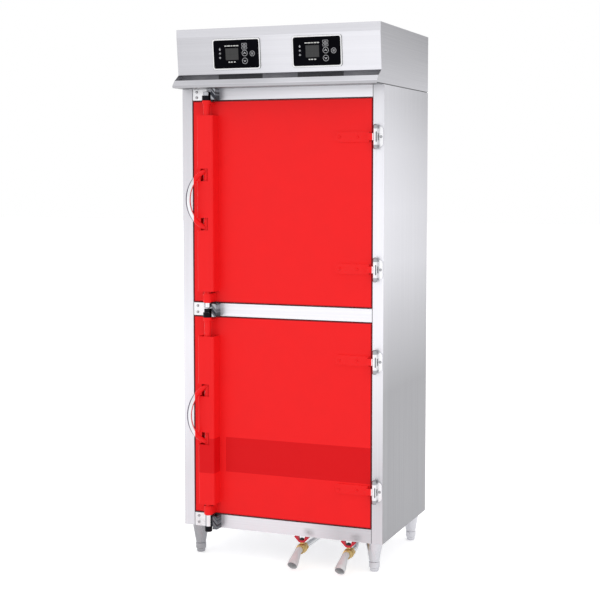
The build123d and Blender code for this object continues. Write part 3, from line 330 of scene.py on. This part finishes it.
def edges(s, door):
    """1 along the four edges of a door's front, where the door gap's shade is painted."""
    low, high = DOOR_SPANS[door]
    width = 0.0030
    soft = 0.0006
    across = DOOR_HALF_WIDTH - width
    return s.either([
        s.step(RIGHT, across, soft),
        s.step(RIGHT, -across, -soft),
        s.step(UP, high - width, soft),
        s.step(UP, low + width, -soft),
    ])


def part_painted(name, mask, metal, rough=0.2, flank_reflection=0.0, cap=None, marks=()):
    """Metal that carries the red finish where a mask says so; mask is a function of the surface.

    the flank share paints a dark reflection on the outer side, below cap the metal is black nylon, and
    marks are (mask, colour) laid over the bare metal.
    """
    s = Surface(name, rough, metallic=1.0, specular=RED_SPECULAR)
    where = mask(s)
    smears = s.noise(SMEARS, detail=5.0)
    bare = s.ramp(smears, [(0.35, shade(metal, 0.93)), (0.65, shade(metal, 1.04))])
    if flank_reflection:
        bare = s.mix(s.times(s.facing(OUTER_SIDE, 0.45, 0.68), flank_reflection), bare, FLANK_REFLECTION)
    for over, colour in marks:
        bare = s.mix(over(s), bare, colour)
    if cap:
        bare = s.mix(s.step(UP, cap, -SHARP), bare, BUSH)
    s.colour(s.mix(where, bare, red_base(s, RED)[0]))
    s.link(s.mapped(where, 0.0, 1.0, 1.0, 0.0), s.shader.inputs["Metallic"])
    s.rough(s.spread(smears, rough - 0.05, rough + 0.1))
    s.bump(smears, 0.04, 0.0003)


def polished(name, colour, rough, metallic=1.0):
    """Polished round steel with faint handling marks."""
    s = Surface(name, rough, metallic=metallic)
    smears = s.noise(SMEARS, detail=5.0)
    s.colour(s.ramp(smears, [(0.35, shade(colour, 0.93)), (0.65, shade(colour, 1.04))]))
    s.rough(s.spread(smears, rough - 0.05, rough + 0.1))
    s.bump(smears, 0.04, 0.0003)


def keeper_steel(name):
    """A keeper's polished steel: its plate is light, and its bracket dark with painted highlights as light
    slants across it.
    """
    s = Surface(name, 0.28, metallic=0.95)
    painted_glint = s.node("ShaderNodeTexNoise", noise_dimensions="1D")
    painted_glint.inputs["Scale"].default_value = 75.0
    painted_glint.inputs["Detail"].default_value = 2.0
    s.link(s.along((0.75, 0.0, 0.66)), painted_glint.inputs["W"])
    dark = s.ramp(painted_glint.outputs["Fac"], [(0.46, (0.030, 0.032, 0.040)), (0.68, (0.44, 0.45, 0.48))])
    streaks = s.noise((90, 1.5, 90), detail=5.0)
    light = s.ramp(streaks, [(0.3, (0.62, 0.62, 0.64)), (0.7, (0.76, 0.76, 0.78))])
    s.colour(s.mix(s.step(RIGHT, KEEPER_WEB, 0.004), light, dark))
    s.rough(s.spread(streaks, 0.22, 0.36))
    s.bump(streaks, 0.08, 0.0002)


def above(height):
    """A mask for everything above a height."""
    return lambda s: s.step(UP, height, SHARP)


def hinge_slot_shade(s):
    """The painted shade of the slot down the root of each hinge leaf, as a dark line."""
    heights = [s.span(UP, z - HINGE_SLOT_HALF, z + HINGE_SLOT_HALF) for z in HINGE_HEIGHTS]
    return s.times(s.either(heights), s.span(RIGHT, *HINGE_SLOT))


def hinge_knobs(s):
    """The ends of each hinge barrel."""
    middles = [s.span(UP, z - BARREL_MIDDLE_HALF, z + BARREL_MIDDLE_HALF) for z in HINGE_HEIGHTS]
    ends = s.node("ShaderNodeMath", operation="SUBTRACT")
    ends.inputs[0].default_value = 1.0
    s.link(s.either(middles), ends.inputs[1])
    return s.times(ends.outputs["Value"], s.step(RIGHT, BARREL_RIGHT, -0.0005))


def hinge_leaf(name):
    """A frame leaf's bright steel, its root's dark line of painted slot shade and the grey ends of its
    barrel.
    """
    s = Surface(name, 0.26, metallic=1.0)
    smears = s.noise(SMEARS, detail=5.0)
    bare = s.ramp(smears, [(0.35, (0.70, 0.70, 0.72)), (0.65, (0.77, 0.77, 0.79))])
    knobs = s.mix(s.times(hinge_knobs(s), 0.9), bare, (0.30, 0.30, 0.32))
    s.colour(s.mix(hinge_slot_shade(s), knobs, HINGE_SHADE))
    s.rough(s.spread(smears, 0.22, 0.36))
    s.bump(smears, 0.04, 0.0003)


def grille_black(name):
    """The vent grille's grey plastic, painted near black across the slots' field as the shade in its
    openings.
    """
    s = Surface(name, 0.6)
    pebbles = s.noise((500, 500, 500), detail=3.0)
    clouds = s.noise((30, 30, 30), detail=3.0)
    near, far = SLOT_FIELD
    slot_shade = s.either([s.span(RIGHT, -far, -near), s.span(RIGHT, near, far)])
    base = s.ramp(clouds, [(0.3, (0.20, 0.20, 0.22)), (0.7, (0.27, 0.27, 0.29))])
    s.colour(s.mix(slot_shade, base, (0.045, 0.045, 0.052)))
    s.rough(s.spread(pebbles, 0.54, 0.68))
    s.bump(pebbles, 0.18, 0.0002)


def moulded(name, colour, rough, grain=700, contrast=0.15):
    """Moulded plastic or rubber with a fine pebbled grain."""
    s = Surface(name, rough)
    pebbles = s.noise((grain, grain, grain), detail=3.0)
    clouds = s.noise((30, 30, 30), detail=3.0)
    s.colour(s.ramp(clouds, [(0.3, shade(colour, 1 - contrast)), (0.7, shade(colour, 1 + contrast))]))
    s.rough(s.spread(pebbles, rough - 0.06, rough + 0.08))
    s.bump(pebbles, 0.18, 0.0002)


def felt(name, colour):
    """Matted fibres of the insulation."""
    s = Surface(name, 0.95, specular=0.1)
    fibres = s.noise((180, 180, 900), detail=8.0)
    s.colour(s.ramp(fibres, [(0.3, shade(colour, 0.8)), (0.7, shade(colour, 1.12))]))
    s.bump(fibres, 0.6, 0.001)


def glass_black(name):
    """The control panels' black glass."""
    s = Surface(name, 0.14, specular=0.02)
    clouds = s.noise((9, 9, 9), detail=3.0)
    s.colour(s.ramp(clouds, [(0.3, (0.0006, 0.0006, 0.0016)), (0.7, (0.002, 0.002, 0.004))]))
    s.rough(s.spread(clouds, 0.1, 0.2))


def ink(name, colour):
    """Printed marks on the glass, a little uneven, and the rim's painted highlight."""
    s = Surface(name, 0.45, specular=0.3)
    grains = s.noise((900, 900, 900), detail=3.0)
    s.colour(s.ramp(grains, [(0.3, shade(colour, 0.82)), (0.7, shade(colour, 1.08))]))


def over_door(s):
    """The stretch of a bow handle that stands in front of its door."""
    return s.step((1.0, HANDLE_SLOPE, 0.0), HANDLE_RED_END, 0.0004)


def strap_on_door(s):
    """The stretch of a hinge strap that lies on the door."""
    return s.step((1.0, STRAP_SLOPE, 0.0), STRAP_RED_END, -0.0004)


def within(which):
    """A mask for the stretch of height between a door's bottom and top."""
    low, high = DOOR_SPANS[which]
    return lambda s: s.span(UP, low, high)


def right_flank(s):
    """The right stile's outer side."""
    return s.rise(RIGHT, HALF_WIDTH - 0.0008, HALF_WIDTH - 0.0003)


def left_flank(s):
    """The left stile's outer side."""
    return s.rise(RIGHT, 0.0008 - HALF_WIDTH, 0.0003 - HALF_WIDTH)


def rail_ends(s):
    """The thin shadow where a rail meets the stiles."""
    return s.either([s.step(RIGHT, RAIL_END, 0.0004), s.step(RIGHT, -RAIL_END, -0.0004)])


def rail_valve_patches(s):
    """A soft darker patch on the rail above each valve, beside its stem."""
    near, far = VALVE_PATCH_BESIDE_STEM
    beside = [s.span(RIGHT, x + near, x + far, soft=0.014) for x in VALVE_STEMS.values()]
    patch = s.times(s.either(beside), s.span(UP, *VALVE_PATCH_SPAN, soft=0.008))
    return s.times(patch, s.spread(s.noise((60, 60, 140), detail=3.0), 0.4, 1.0))


def ledge_lip(s):
    """The upright lip at the ledge's lower edge, painted darker as shade."""
    return s.step(UP, LEDGE_LIP_TOP, -0.0007)


# Painted reflections and shade of the sheets: their lightness as (metres along the sheet, lightness)
left_stile_tones = [(0.10, 0.67), (0.30, 0.65), (0.52, 0.735), (0.72, 0.755), (0.93, 0.68), (1.30, 0.60),
                    (1.556, 0.52)]
right_stile_tones = [(0.10, 0.59), (0.28, 0.54), (0.46, 0.64), (0.64, 0.73), (0.81, 0.775), (1.16, 0.775),
                     (1.34, 0.725), (1.556, 0.64)]
side_tones = [(0.58, 0.32), (0.82, 0.51), (1.00, 0.69), (1.17, 0.75), (1.36, 0.72), (1.52, 0.61)]
cheek_tones = [(1.556, 0.54), (1.65, 0.456), (1.746, 0.38)]
face_tones = [(-0.35, 0.49), (-0.22, 0.51), (0.0, 0.625), (0.20, 0.67), (0.35, 0.685)]
lip_tones = [(-0.35, 0.57), (0.10, 0.585), (0.35, 0.61)]
ledge_tones = [(-0.35, 0.60), (-0.10, 0.64), (0.10, 0.76), (0.35, 0.78)]
top_rail_tones = [(-0.32, 0.54), (-0.10, 0.65), (0.10, 0.745), (0.32, 0.775)]
middle_rail_tones = [(-0.32, 0.72), (0.0, 0.775), (0.32, 0.785)]
bottom_rail_tones = [(-0.32, 0.66), (-0.05, 0.70), (0.08, 0.69), (0.20, 0.51), (0.32, 0.55)]
feet_tones = [(-0.36, 0.30), (-0.26, 0.33), (0.24, 0.42), (0.30, 0.56), (0.36, 0.64)]

# The stiles' outer sides take the side panels' painted reflections and shade
graded("left_stile", UP, left_stile_tones, GRAIN_UPRIGHT, marks=[(left_flank, side_tones)])
graded("right_stile", UP, right_stile_tones, GRAIN_UPRIGHT, marks=[(right_flank, side_tones)])
graded("top_rail", RIGHT, top_rail_tones, GRAIN_ACROSS, marks=[(rail_ends, 0.18)])
graded("middle_rail", RIGHT, middle_rail_tones, GRAIN_ACROSS, marks=[(rail_ends, 0.18)])
graded("bottom_rail", RIGHT, bottom_rail_tones, GRAIN_ACROSS,
       marks=[(rail_ends, 0.18), (rail_valve_patches, 0.18)])
graded("hood_face", RIGHT, face_tones, GRAIN_ACROSS)
graded("hood_lid", RIGHT, lip_tones, GRAIN_ACROSS)
graded("hood_ledge", RIGHT, ledge_tones, GRAIN_ACROSS, marks=[(ledge_lip, 0.42)])
brushed("steel_across", STEEL, GRAIN_ACROSS)
brushed("steel_upright", shade(STEEL, 0.98), GRAIN_UPRIGHT)
# Side panels and hood cheeks painted darker towards the back, as shade
graded("steel_side", UP, side_tones, GRAIN_UPRIGHT, rough=0.42,
       dim=(BACK, FRONT + 0.05, FRONT + BODY_DEPTH, 0.24))
graded("steel_cheek", UP, cheek_tones, GRAIN_BACK, rough=0.42, streak=0.03,
       dim=(BACK, FRONT, FRONT + BODY_DEPTH, 0.14))
brushed("steel_inner", (0.62, 0.63, 0.64), GRAIN_ACROSS, rough=0.28, metallic=1.0)
keeper_steel("keeper")
# The heating elements' own dark steel; on the hood floor it is painted shade in the groove round the hood
brushed("steel_dark", (0.14, 0.145, 0.155), (300, 1.5, 300), rough=0.36, metallic=0.9, contrast=0.25)
graded("feet", RIGHT, feet_tones, SMEARS, rough=0.26, metallic=1.0)
polished("screw_heads", (0.36, 0.362, 0.38), rough=0.3)
polished("hinge_caps", (0.34, 0.342, 0.36), rough=0.3)
hinge_leaf("hinge_leaf")
polished("spout", (0.66, 0.665, 0.68), rough=0.42, metallic=0.2)
part_painted("handle", over_door, BRIGHT, rough=0.28, flank_reflection=0.92)
part_painted("upper_rod", within("upper"), BRIGHT, flank_reflection=0.5,
             marks=[(above(DOOR_SPANS["upper"][1] + GUIDE_RISE), (0.40, 0.405, 0.43))])
part_painted("lower_rod", within("lower"), BRIGHT, flank_reflection=0.5, cap=ROD_CAP_TOP,
             marks=[(above(DOOR_SPANS["lower"][1] + GUIDE_RISE), BUSH)])
part_painted("upper_bush", within("upper"), BUSH, rough=0.4)
part_painted("lower_bush", within("lower"), BUSH, rough=0.4)
# The straps carry the same painted slot shade as the hinge leaves
part_painted("strap", strap_on_door, BRIGHT, marks=[(hinge_slot_shade, HINGE_SHADE)])
painted("red_door", RED, door="upper")
painted("red_screws", RED)
painted("red_door_banded", RED, band_left=BAND_LEFT, door="lower")
painted("red_cover", shade(RED, 0.99), rough=0.34)
painted("red_cover_banded", shade(RED, 0.99), rough=0.34, band_left=-1.0)
moulded("lever_red", (0.60, 0.012, 0.034), rough=0.45, contrast=0.12)
grille_black("grille")
glass_black("glass")
moulded("nylon", (0.012, 0.012, 0.014), rough=0.45)
moulded("board", (0.03, 0.16, 0.07), rough=0.4, grain=200)
moulded("switchgear", (0.40, 0.41, 0.40), rough=0.55)
moulded("seal", (0.05, 0.05, 0.055), rough=0.7)
felt("felt", (0.70, 0.62, 0.42))
brushed("brass", (0.62, 0.44, 0.17), (220, 220, 3), rough=0.34, metallic=0.95, contrast=0.12)
ink("ink", (0.42, 0.42, 0.44))
ink("ink_light", (0.62, 0.62, 0.60))
# The pale rim round the panel's glass, painted white as a highlight on its edge
ink("rim_highlight", (0.93, 0.93, 0.95))
moulded("display", (0.010, 0.010, 0.011), rough=0.5, grain=900)
moulded("display_row", (0.019, 0.019, 0.020), rough=0.5, grain=900)

node_materials = {
    "steel_upright": ["upper_door_pan", "lower_door_pan"],
    "left_stile": ["left_stile"],
    "right_stile": ["right_stile"],
    "top_rail": ["top_rail"],
    "middle_rail": ["middle_rail"],
    "bottom_rail": ["bottom_rail"],
    "hood_face": ["hood_front"],
    "hood_ledge": ["hood_ledge"],
    "hood_lid": ["hood_lid"],
    "steel_across": ["hood_back", "back_panel", "rear_covers", "base_plate"],
    "steel_side": ["left_side_panel", "right_side_panel"],
    "steel_cheek": ["hood_cheeks"],
    "steel_inner": ["upper_liner", "lower_liner", "water_pans", "steam_plates", "tray_racks", "drain_pipes"],
    "keeper": ["latch_keepers"],
    # The hood floor is painted dark as the shade in its groove
    "steel_dark": ["heating_elements", "hood_floor"],
    "feet": ["feet"],
    "screw_heads": ["frame_screws"],
    "hinge_caps": ["hinge_pins"],
    "hinge_leaf": ["hinge_leaves"],
    "spout": ["drain_spouts"],
    "handle": ["upper_bow_handle", "lower_bow_handle"],
    "upper_rod": ["upper_lock_rod"],
    "lower_rod": ["lower_lock_rod"],
    "upper_bush": ["upper_rod_guides"],
    "lower_bush": ["lower_rod_guides"],
    "strap": ["upper_hinge_straps", "lower_hinge_straps"],
    "red_door": ["upper_door_skin"],
    "red_screws": ["upper_door_screws", "lower_door_screws"],
    "red_door_banded": ["lower_door_skin"],
    "red_cover": ["upper_lock_cover"],
    "red_cover_banded": ["lower_lock_cover"],
    "lever_red": ["left_valve_lever", "right_valve_lever"],
    "grille": ["vent_grille"],
    "glass": ["left_control_panel", "right_control_panel"],
    "nylon": ["cable_gland"],
    "board": ["control_boards"],
    "switchgear": ["switchgear"],
    "seal": ["upper_door_gasket", "lower_door_gasket"],
    "felt": ["wall_insulation", "upper_door_insulation", "lower_door_insulation"],
    "brass": ["drain_valve_bodies", "water_inlet"],
}
for name, members in node_materials.items():
    for member in members:
        for slot in nodes[member].material_slots:
            slot.material = materials[name]


# Mesh helpers

def piece(name, mesh, material, body):
    """A mesh as a piece of the object that rides on a body."""
    made = bpy.data.objects.new(name, mesh)
    bpy.context.scene.collection.objects.link(made)
    made.data.materials.append(materials[material])
    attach(made, body)
    return made


def prism(bm, outline, z0, z1, place):
    """A straight-sided solid from an outline of (x, y) points, put in place by a matrix."""
    low = [bm.verts.new(place @ Vector((x, y, z0))) for x, y in outline]
    high = [bm.verts.new(place @ Vector((x, y, z1))) for x, y in outline]
    bm.faces.new(low[::-1])
    bm.faces.new(high)
    for i in range(len(outline)):
        j = (i + 1) % len(outline)
        bm.faces.new((low[i], low[j], high[j], high[i]))


def ring(bm, outer, inner, z0, z1, place):
    """A closed band between two outlines with as many points each."""
    rows = [[bm.verts.new(place @ Vector((x, y, z))) for x, y in line]
            for line, z in ((outer, z0), (outer, z1), (inner, z1), (inner, z0))]
    count = len(outer)
    for a, b in ((0, 1), (1, 2), (2, 3), (3, 0)):
        for i in range(count):
            j = (i + 1) % count
            bm.faces.new((rows[a][i], rows[a][j], rows[b][j], rows[b][i]))


def rounded(width, height, radius, centre=(0.0, 0.0), steps=6):
    """An outline of a rectangle with round corners."""
    points = []
    for quarter, (sx, sy) in enumerate(((1, 1), (-1, 1), (-1, -1), (1, -1))):
        cx = centre[0] + sx * (width / 2 - radius)
        cy = centre[1] + sy * (height / 2 - radius)
        for step in range(steps + 1):
            angle = math.radians(90 * quarter + 90 * step / steps)
            points.append((cx + radius * math.cos(angle), cy + radius * math.sin(angle)))
    return points


def circle(radius, centre=(0.0, 0.0), steps=40):
    """An outline of a circle."""
    angles = [2 * math.pi * i / steps for i in range(steps)]
    return [(centre[0] + radius * math.cos(a), centre[1] + radius * math.sin(a)) for a in angles]


def finished(bm, name):
    """The mesh of a finished bmesh."""
    bmesh.ops.recalc_face_normals(bm, faces=bm.faces)
    mesh = bpy.data.meshes.new(name)
    bm.to_mesh(mesh)
    bm.free()
    return mesh


def face_matrix(x):
    """The control panel's place: X to the right, Y up the face and Z out of it."""
    middle_z = (LIP_BOTTOM + FACE_BOTTOM) / 2 + PANEL_RISE
    middle_y = FRONT - FACE_STEP - PANEL_RISE * FACE_LEAN
    out = Vector((0, -1, -FACE_LEAN)).normalized()
    right = Vector((1, 0, 0))
    up = out.cross(right)
    turn = Matrix((right, up, out)).transposed().to_4x4()
    return Matrix.Translation((x, middle_y, middle_z)) @ turn


# Control panel details, in the panel's own frame, with its middle at (0, 0)
MARK_TOP = PANEL_FACE + 0.00012
KEY_COLUMN = 0.030
RAISE_KEY = 0.002
LOWER_KEY = -0.0225
POWER_KEY = 0.0565
RING_KEYS = [(KEY_COLUMN, RAISE_KEY, 0.0098), (KEY_COLUMN, LOWER_KEY, 0.0098), (POWER_KEY, 0.0, 0.0086)]
BAR_KEY_COLUMN = 0.0295
BAR_KEYS = (0.029, 0.0185)
SIGN_COLUMN = -0.057
ARROW = [(0.0, 0.0045), (0.0052, -0.0022), (0.0022, -0.0022), (0.0, 0.0008), (-0.0022, -0.0022),
         (-0.0052, -0.0022)]
DROP = [(0.0, 0.0045), (0.0022, 0.0010), (0.0030, -0.0012), (0.0018, -0.0034), (0.0, -0.0040),
        (-0.0018, -0.0034), (-0.0030, -0.0012), (-0.0022, 0.0010)]
ROW_HEIGHTS = (0.0085, -0.0085)
FIGURES = 4
FIGURE_STEP = 0.011
LEVEL_BAR = (0.0040, 0.0011)
UPRIGHT_BAR = (0.0011, 0.0040)
LEVEL_BARS = [(0.0, 0.0052), (0.0, 0.0), (0.0, -0.0052)]
UPRIGHT_BARS = [(-0.0027, 0.0026), (0.0027, 0.0026), (-0.0027, -0.0026), (0.0027, -0.0026)]


def mark(bm, outline, place):
    """A flat printed mark on the panel's face."""
    prism(bm, outline, PANEL_FACE, MARK_TOP, place)


def panel_rim(bm, place):
    """The pale rim round the panel's glass, its edge painted white as a highlight."""
    outer = rounded(0.1664, 0.0974, 0.0077)
    inner = rounded(0.1590, 0.0900, 0.0065)
    ring(bm, outer, inner, PANEL_FACE, PANEL_FACE + 0.0001, place)


def dashes(bm, place, x0, x1, y, height, widths):
    """A broken line between two places: every other width is a bar, and the rest are gaps."""
    total = sum(widths)
    x = x0
    for i, width in enumerate(widths):
        step = (x1 - x0) * width / total
        if i % 2 == 0:
            mark(bm, rounded(step, height, height * 0.3, (x + step / 2, y), 2), place)
        x += step


def panel_lines(bm, place):
    """The broken lines above and below the display."""
    dashes(bm, place, -0.040, 0.009, 0.0262, 0.0032, (5, 1, 7, 1, 4, 1.5, 6, 1, 5))
    dashes(bm, place, -0.028, -0.003, -0.0252, 0.0034, (5, 1.5, 6, 3, 5))


def key_marks(bm, place):
    """Five touch keys, each a thin ring round a small sign."""
    for x, y, r in RING_KEYS:
        ring(bm, circle(r, (x, y)), circle(r - 0.0014, (x, y)), PANEL_FACE, MARK_TOP, place)
    for y in BAR_KEYS:
        outer = rounded(0.019, 0.009, 0.003, (BAR_KEY_COLUMN, y))
        inner = rounded(0.0165, 0.0065, 0.0018, (BAR_KEY_COLUMN, y))
        ring(bm, outer, inner, PANEL_FACE, MARK_TOP, place)
    mark(bm, [(KEY_COLUMN + x, RAISE_KEY + y) for x, y in ARROW], place)
    mark(bm, [(KEY_COLUMN + x, LOWER_KEY - y) for x, y in ARROW], place)
    for dx in (-0.0024, 0.0, 0.0024):
        mark(bm, rounded(0.0013, 0.0074, 0.0005, (POWER_KEY + dx, 0.0), 2), place)
    for y in BAR_KEYS:
        mark(bm, rounded(0.009, 0.0018, 0.0007, (BAR_KEY_COLUMN, y), 2), place)


def lamp_signs(bm, place):
    """Three small signs at the panel's left: a drop, a sun and a cross."""
    mark(bm, [(SIGN_COLUMN + x, 0.0165 + y) for x, y in DROP], place)
    sun = (SIGN_COLUMN, 0.003)
    mark(bm, circle(0.0023, sun, 20), place)
    for i in range(6):
        angle = math.radians(60 * i)
        ray = (sun[0] + 0.0037 * math.cos(angle), sun[1] + 0.0037 * math.sin(angle))
        mark(bm, circle(0.0006, ray, 8), place)
    cross = (SIGN_COLUMN, -0.0105)
    mark(bm, rounded(0.0075, 0.0022, 0.0009, cross, 3), place)
    prism(bm, rounded(0.0022, 0.0068, 0.0009, cross, 3), PANEL_FACE, MARK_TOP + 0.00002, place)


def display_pane(bm, place):
    """The display's dark pane, in the panel's recess."""
    width, height = DISPLAY_SIZE
    outline = rounded(width - 0.0006, height - 0.0006, 0.0005, (DISPLAY_CENTRE, 0.0), 2)
    prism(bm, outline, DISPLAY_FLOOR + 0.00002, DISPLAY_FLOOR + 0.0002, place)


def display_rows(bm, place):
    """The two fields of the display that hold its rows of figures."""
    for y in ROW_HEIGHTS:
        outline = rounded(DISPLAY_SIZE[0] - 0.003, 0.0150, 0.001, (DISPLAY_CENTRE, y), 3)
        prism(bm, outline, DISPLAY_FLOOR + 0.0002, DISPLAY_FLOOR + 0.0003, place)


def display_figures(bm, place):
    """Two rows of unlit seven-bar figures."""
    z = DISPLAY_FLOOR + 0.0003
    for y in ROW_HEIGHTS:
        for column in range(FIGURES):
            x = DISPLAY_CENTRE + FIGURE_STEP * (column - (FIGURES - 1) / 2)
            for size, bars in ((LEVEL_BAR, LEVEL_BARS), (UPRIGHT_BAR, UPRIGHT_BARS)):
                for dx, dy in bars:
                    prism(bm, rounded(*size, 0.0004, (x + dx, y + dy), 2), z, z + 0.00008, place)


PANEL_PIECES = [
    ("panel_rim", "rim_highlight", panel_rim),
    ("panel_lines", "ink_light", panel_lines),
    ("panel_keys", "ink", key_marks),
    ("panel_signs", "ink", lamp_signs),
    ("display", "display", display_pane),
    ("display_rows", "display_row", display_rows),
    ("display_figures", "display", display_figures),
]
for which, x in PANEL_X.items():
    for name, material, draw in PANEL_PIECES:
        bm = bmesh.new()
        draw(bm, face_matrix(x))
        piece(which + "_" + name, finished(bm, name), material, "cabinet")


# Valve nuts
NUT_ACROSS_FLATS = 0.013
NUT_TOP = HUB_TOP + 0.0055
STEM_TOP = HUB_TOP + 0.0075
STEM_RADIUS = 0.0036


def lever_nut(body, x):
    """The dark nut that holds a wing lever on its stem."""
    bm = bmesh.new()
    corner = NUT_ACROSS_FLATS / 2 / math.cos(math.radians(30))
    place = Matrix.Translation((x, STEM_Y, 0))
    prism(bm, circle(corner, steps=6), HUB_TOP, NUT_TOP, place)
    prism(bm, circle(STEM_RADIUS, steps=24), NUT_TOP, STEM_TOP, place)
    nut = piece(body + "_nut", finished(bm, "nut"), "nylon", body)
    bevel = nut.modifiers.new("edges", "BEVEL")
    bevel.width = 0.0005
    bevel.segments = 2


for body, x in VALVE_STEMS.items():
    lever_nut(body, x)


# Studio

def emission_floor():
    """A matt white floor that keeps the object's shadow and shows white to camera and mirror rays."""
    material = bpy.data.materials.new("floor")
    material.use_nodes = True
    tree = material.node_tree
    shader = tree.nodes["Principled BSDF"]
    shader.inputs["Base Color"].default_value = (0.86, 0.86, 0.86, 1.0)
    shader.inputs["Roughness"].default_value = 0.9
    shader.inputs["Specular IOR Level"].default_value = 0.1
    shader.inputs["Emission Color"].default_value = (1.0, 1.0, 1.0, 1.0)
    tree.links.new(seen_glow(tree, 0.45), shader.inputs["Emission Strength"])
    return material


def seen_glow(tree, strength):
    """A strength for camera, mirror and glass rays only; the light that falls on things has none of it."""
    path = tree.nodes.new("ShaderNodeLightPath")
    seen = path.outputs["Is Camera Ray"]
    for ray in ("Is Glossy Ray", "Is Transmission Ray"):
        either = tree.nodes.new("ShaderNodeMath")
        either.operation = "MAXIMUM"
        tree.links.new(seen, either.inputs[0])
        tree.links.new(path.outputs[ray], either.inputs[1])
        seen = either.outputs["Value"]
    level = tree.nodes.new("ShaderNodeMath")
    level.operation = "MULTIPLY"
    level.inputs[1].default_value = strength
    tree.links.new(seen, level.inputs[0])
    return level.outputs["Value"]


bm = bmesh.new()
bmesh.ops.create_grid(bm, x_segments=1, y_segments=1, size=30.0)
floor = bpy.data.objects.new("floor", finished(bm, "floor"))
floor.data.materials.append(emission_floor())
bpy.context.scene.collection.objects.link(floor)

world = bpy.data.worlds.new("studio")
world.use_nodes = True
background = world.node_tree.nodes["Background"]
background.inputs["Color"].default_value = (1.0, 1.0, 1.0, 1.0)
background.inputs["Strength"].default_value = 1.0
bpy.context.scene.world = world


def area(name, place, target, size, power):
    """A soft rectangular lamp that looks at a target."""
    data = bpy.data.lights.new(name, "AREA")
    data.shape = "RECTANGLE"
    data.size = size[0]
    data.size_y = size[1]
    data.energy = power
    lamp = bpy.data.objects.new(name, data)
    lamp.location = place
    lamp.rotation_euler = (Vector(target) - Vector(place)).to_track_quat("-Z", "Y").to_euler()
    bpy.context.scene.collection.objects.link(lamp)


CABINET_MIDDLE = (0.0, 0.0, 0.9)
area("key", (-1.8, -4.6, 1.9), CABINET_MIDDLE, (5.0, 4.4), 20)
area("fill", (3.4, -3.0, 2.0), CABINET_MIDDLE, (3.6, 3.6), 8)

# Camera, at the photograph's place
CAMERA_PLACE = (1.6503, -4.1846, 1.2732)
CAMERA_YAW = 0.3788
CAMERA_PITCH = 0.0729
SENSOR_WIDTH = 36.0
FOCAL_PIXELS = 1334.4
IMAGE_PIXELS = 600.0
camera_data = bpy.data.cameras.new("camera")
camera_data.sensor_width = SENSOR_WIDTH
camera_data.sensor_fit = "HORIZONTAL"
camera_data.lens = SENSOR_WIDTH * FOCAL_PIXELS / IMAGE_PIXELS
camera_data.shift_y = -0.045
camera = bpy.data.objects.new("camera", camera_data)
camera.location = CAMERA_PLACE
camera.rotation_euler = (math.pi / 2 - CAMERA_PITCH, 0.0, CAMERA_YAW)
bpy.context.scene.collection.objects.link(camera)
bpy.context.scene.camera = camera
bpy.context.scene.view_settings.view_transform = "Standard"
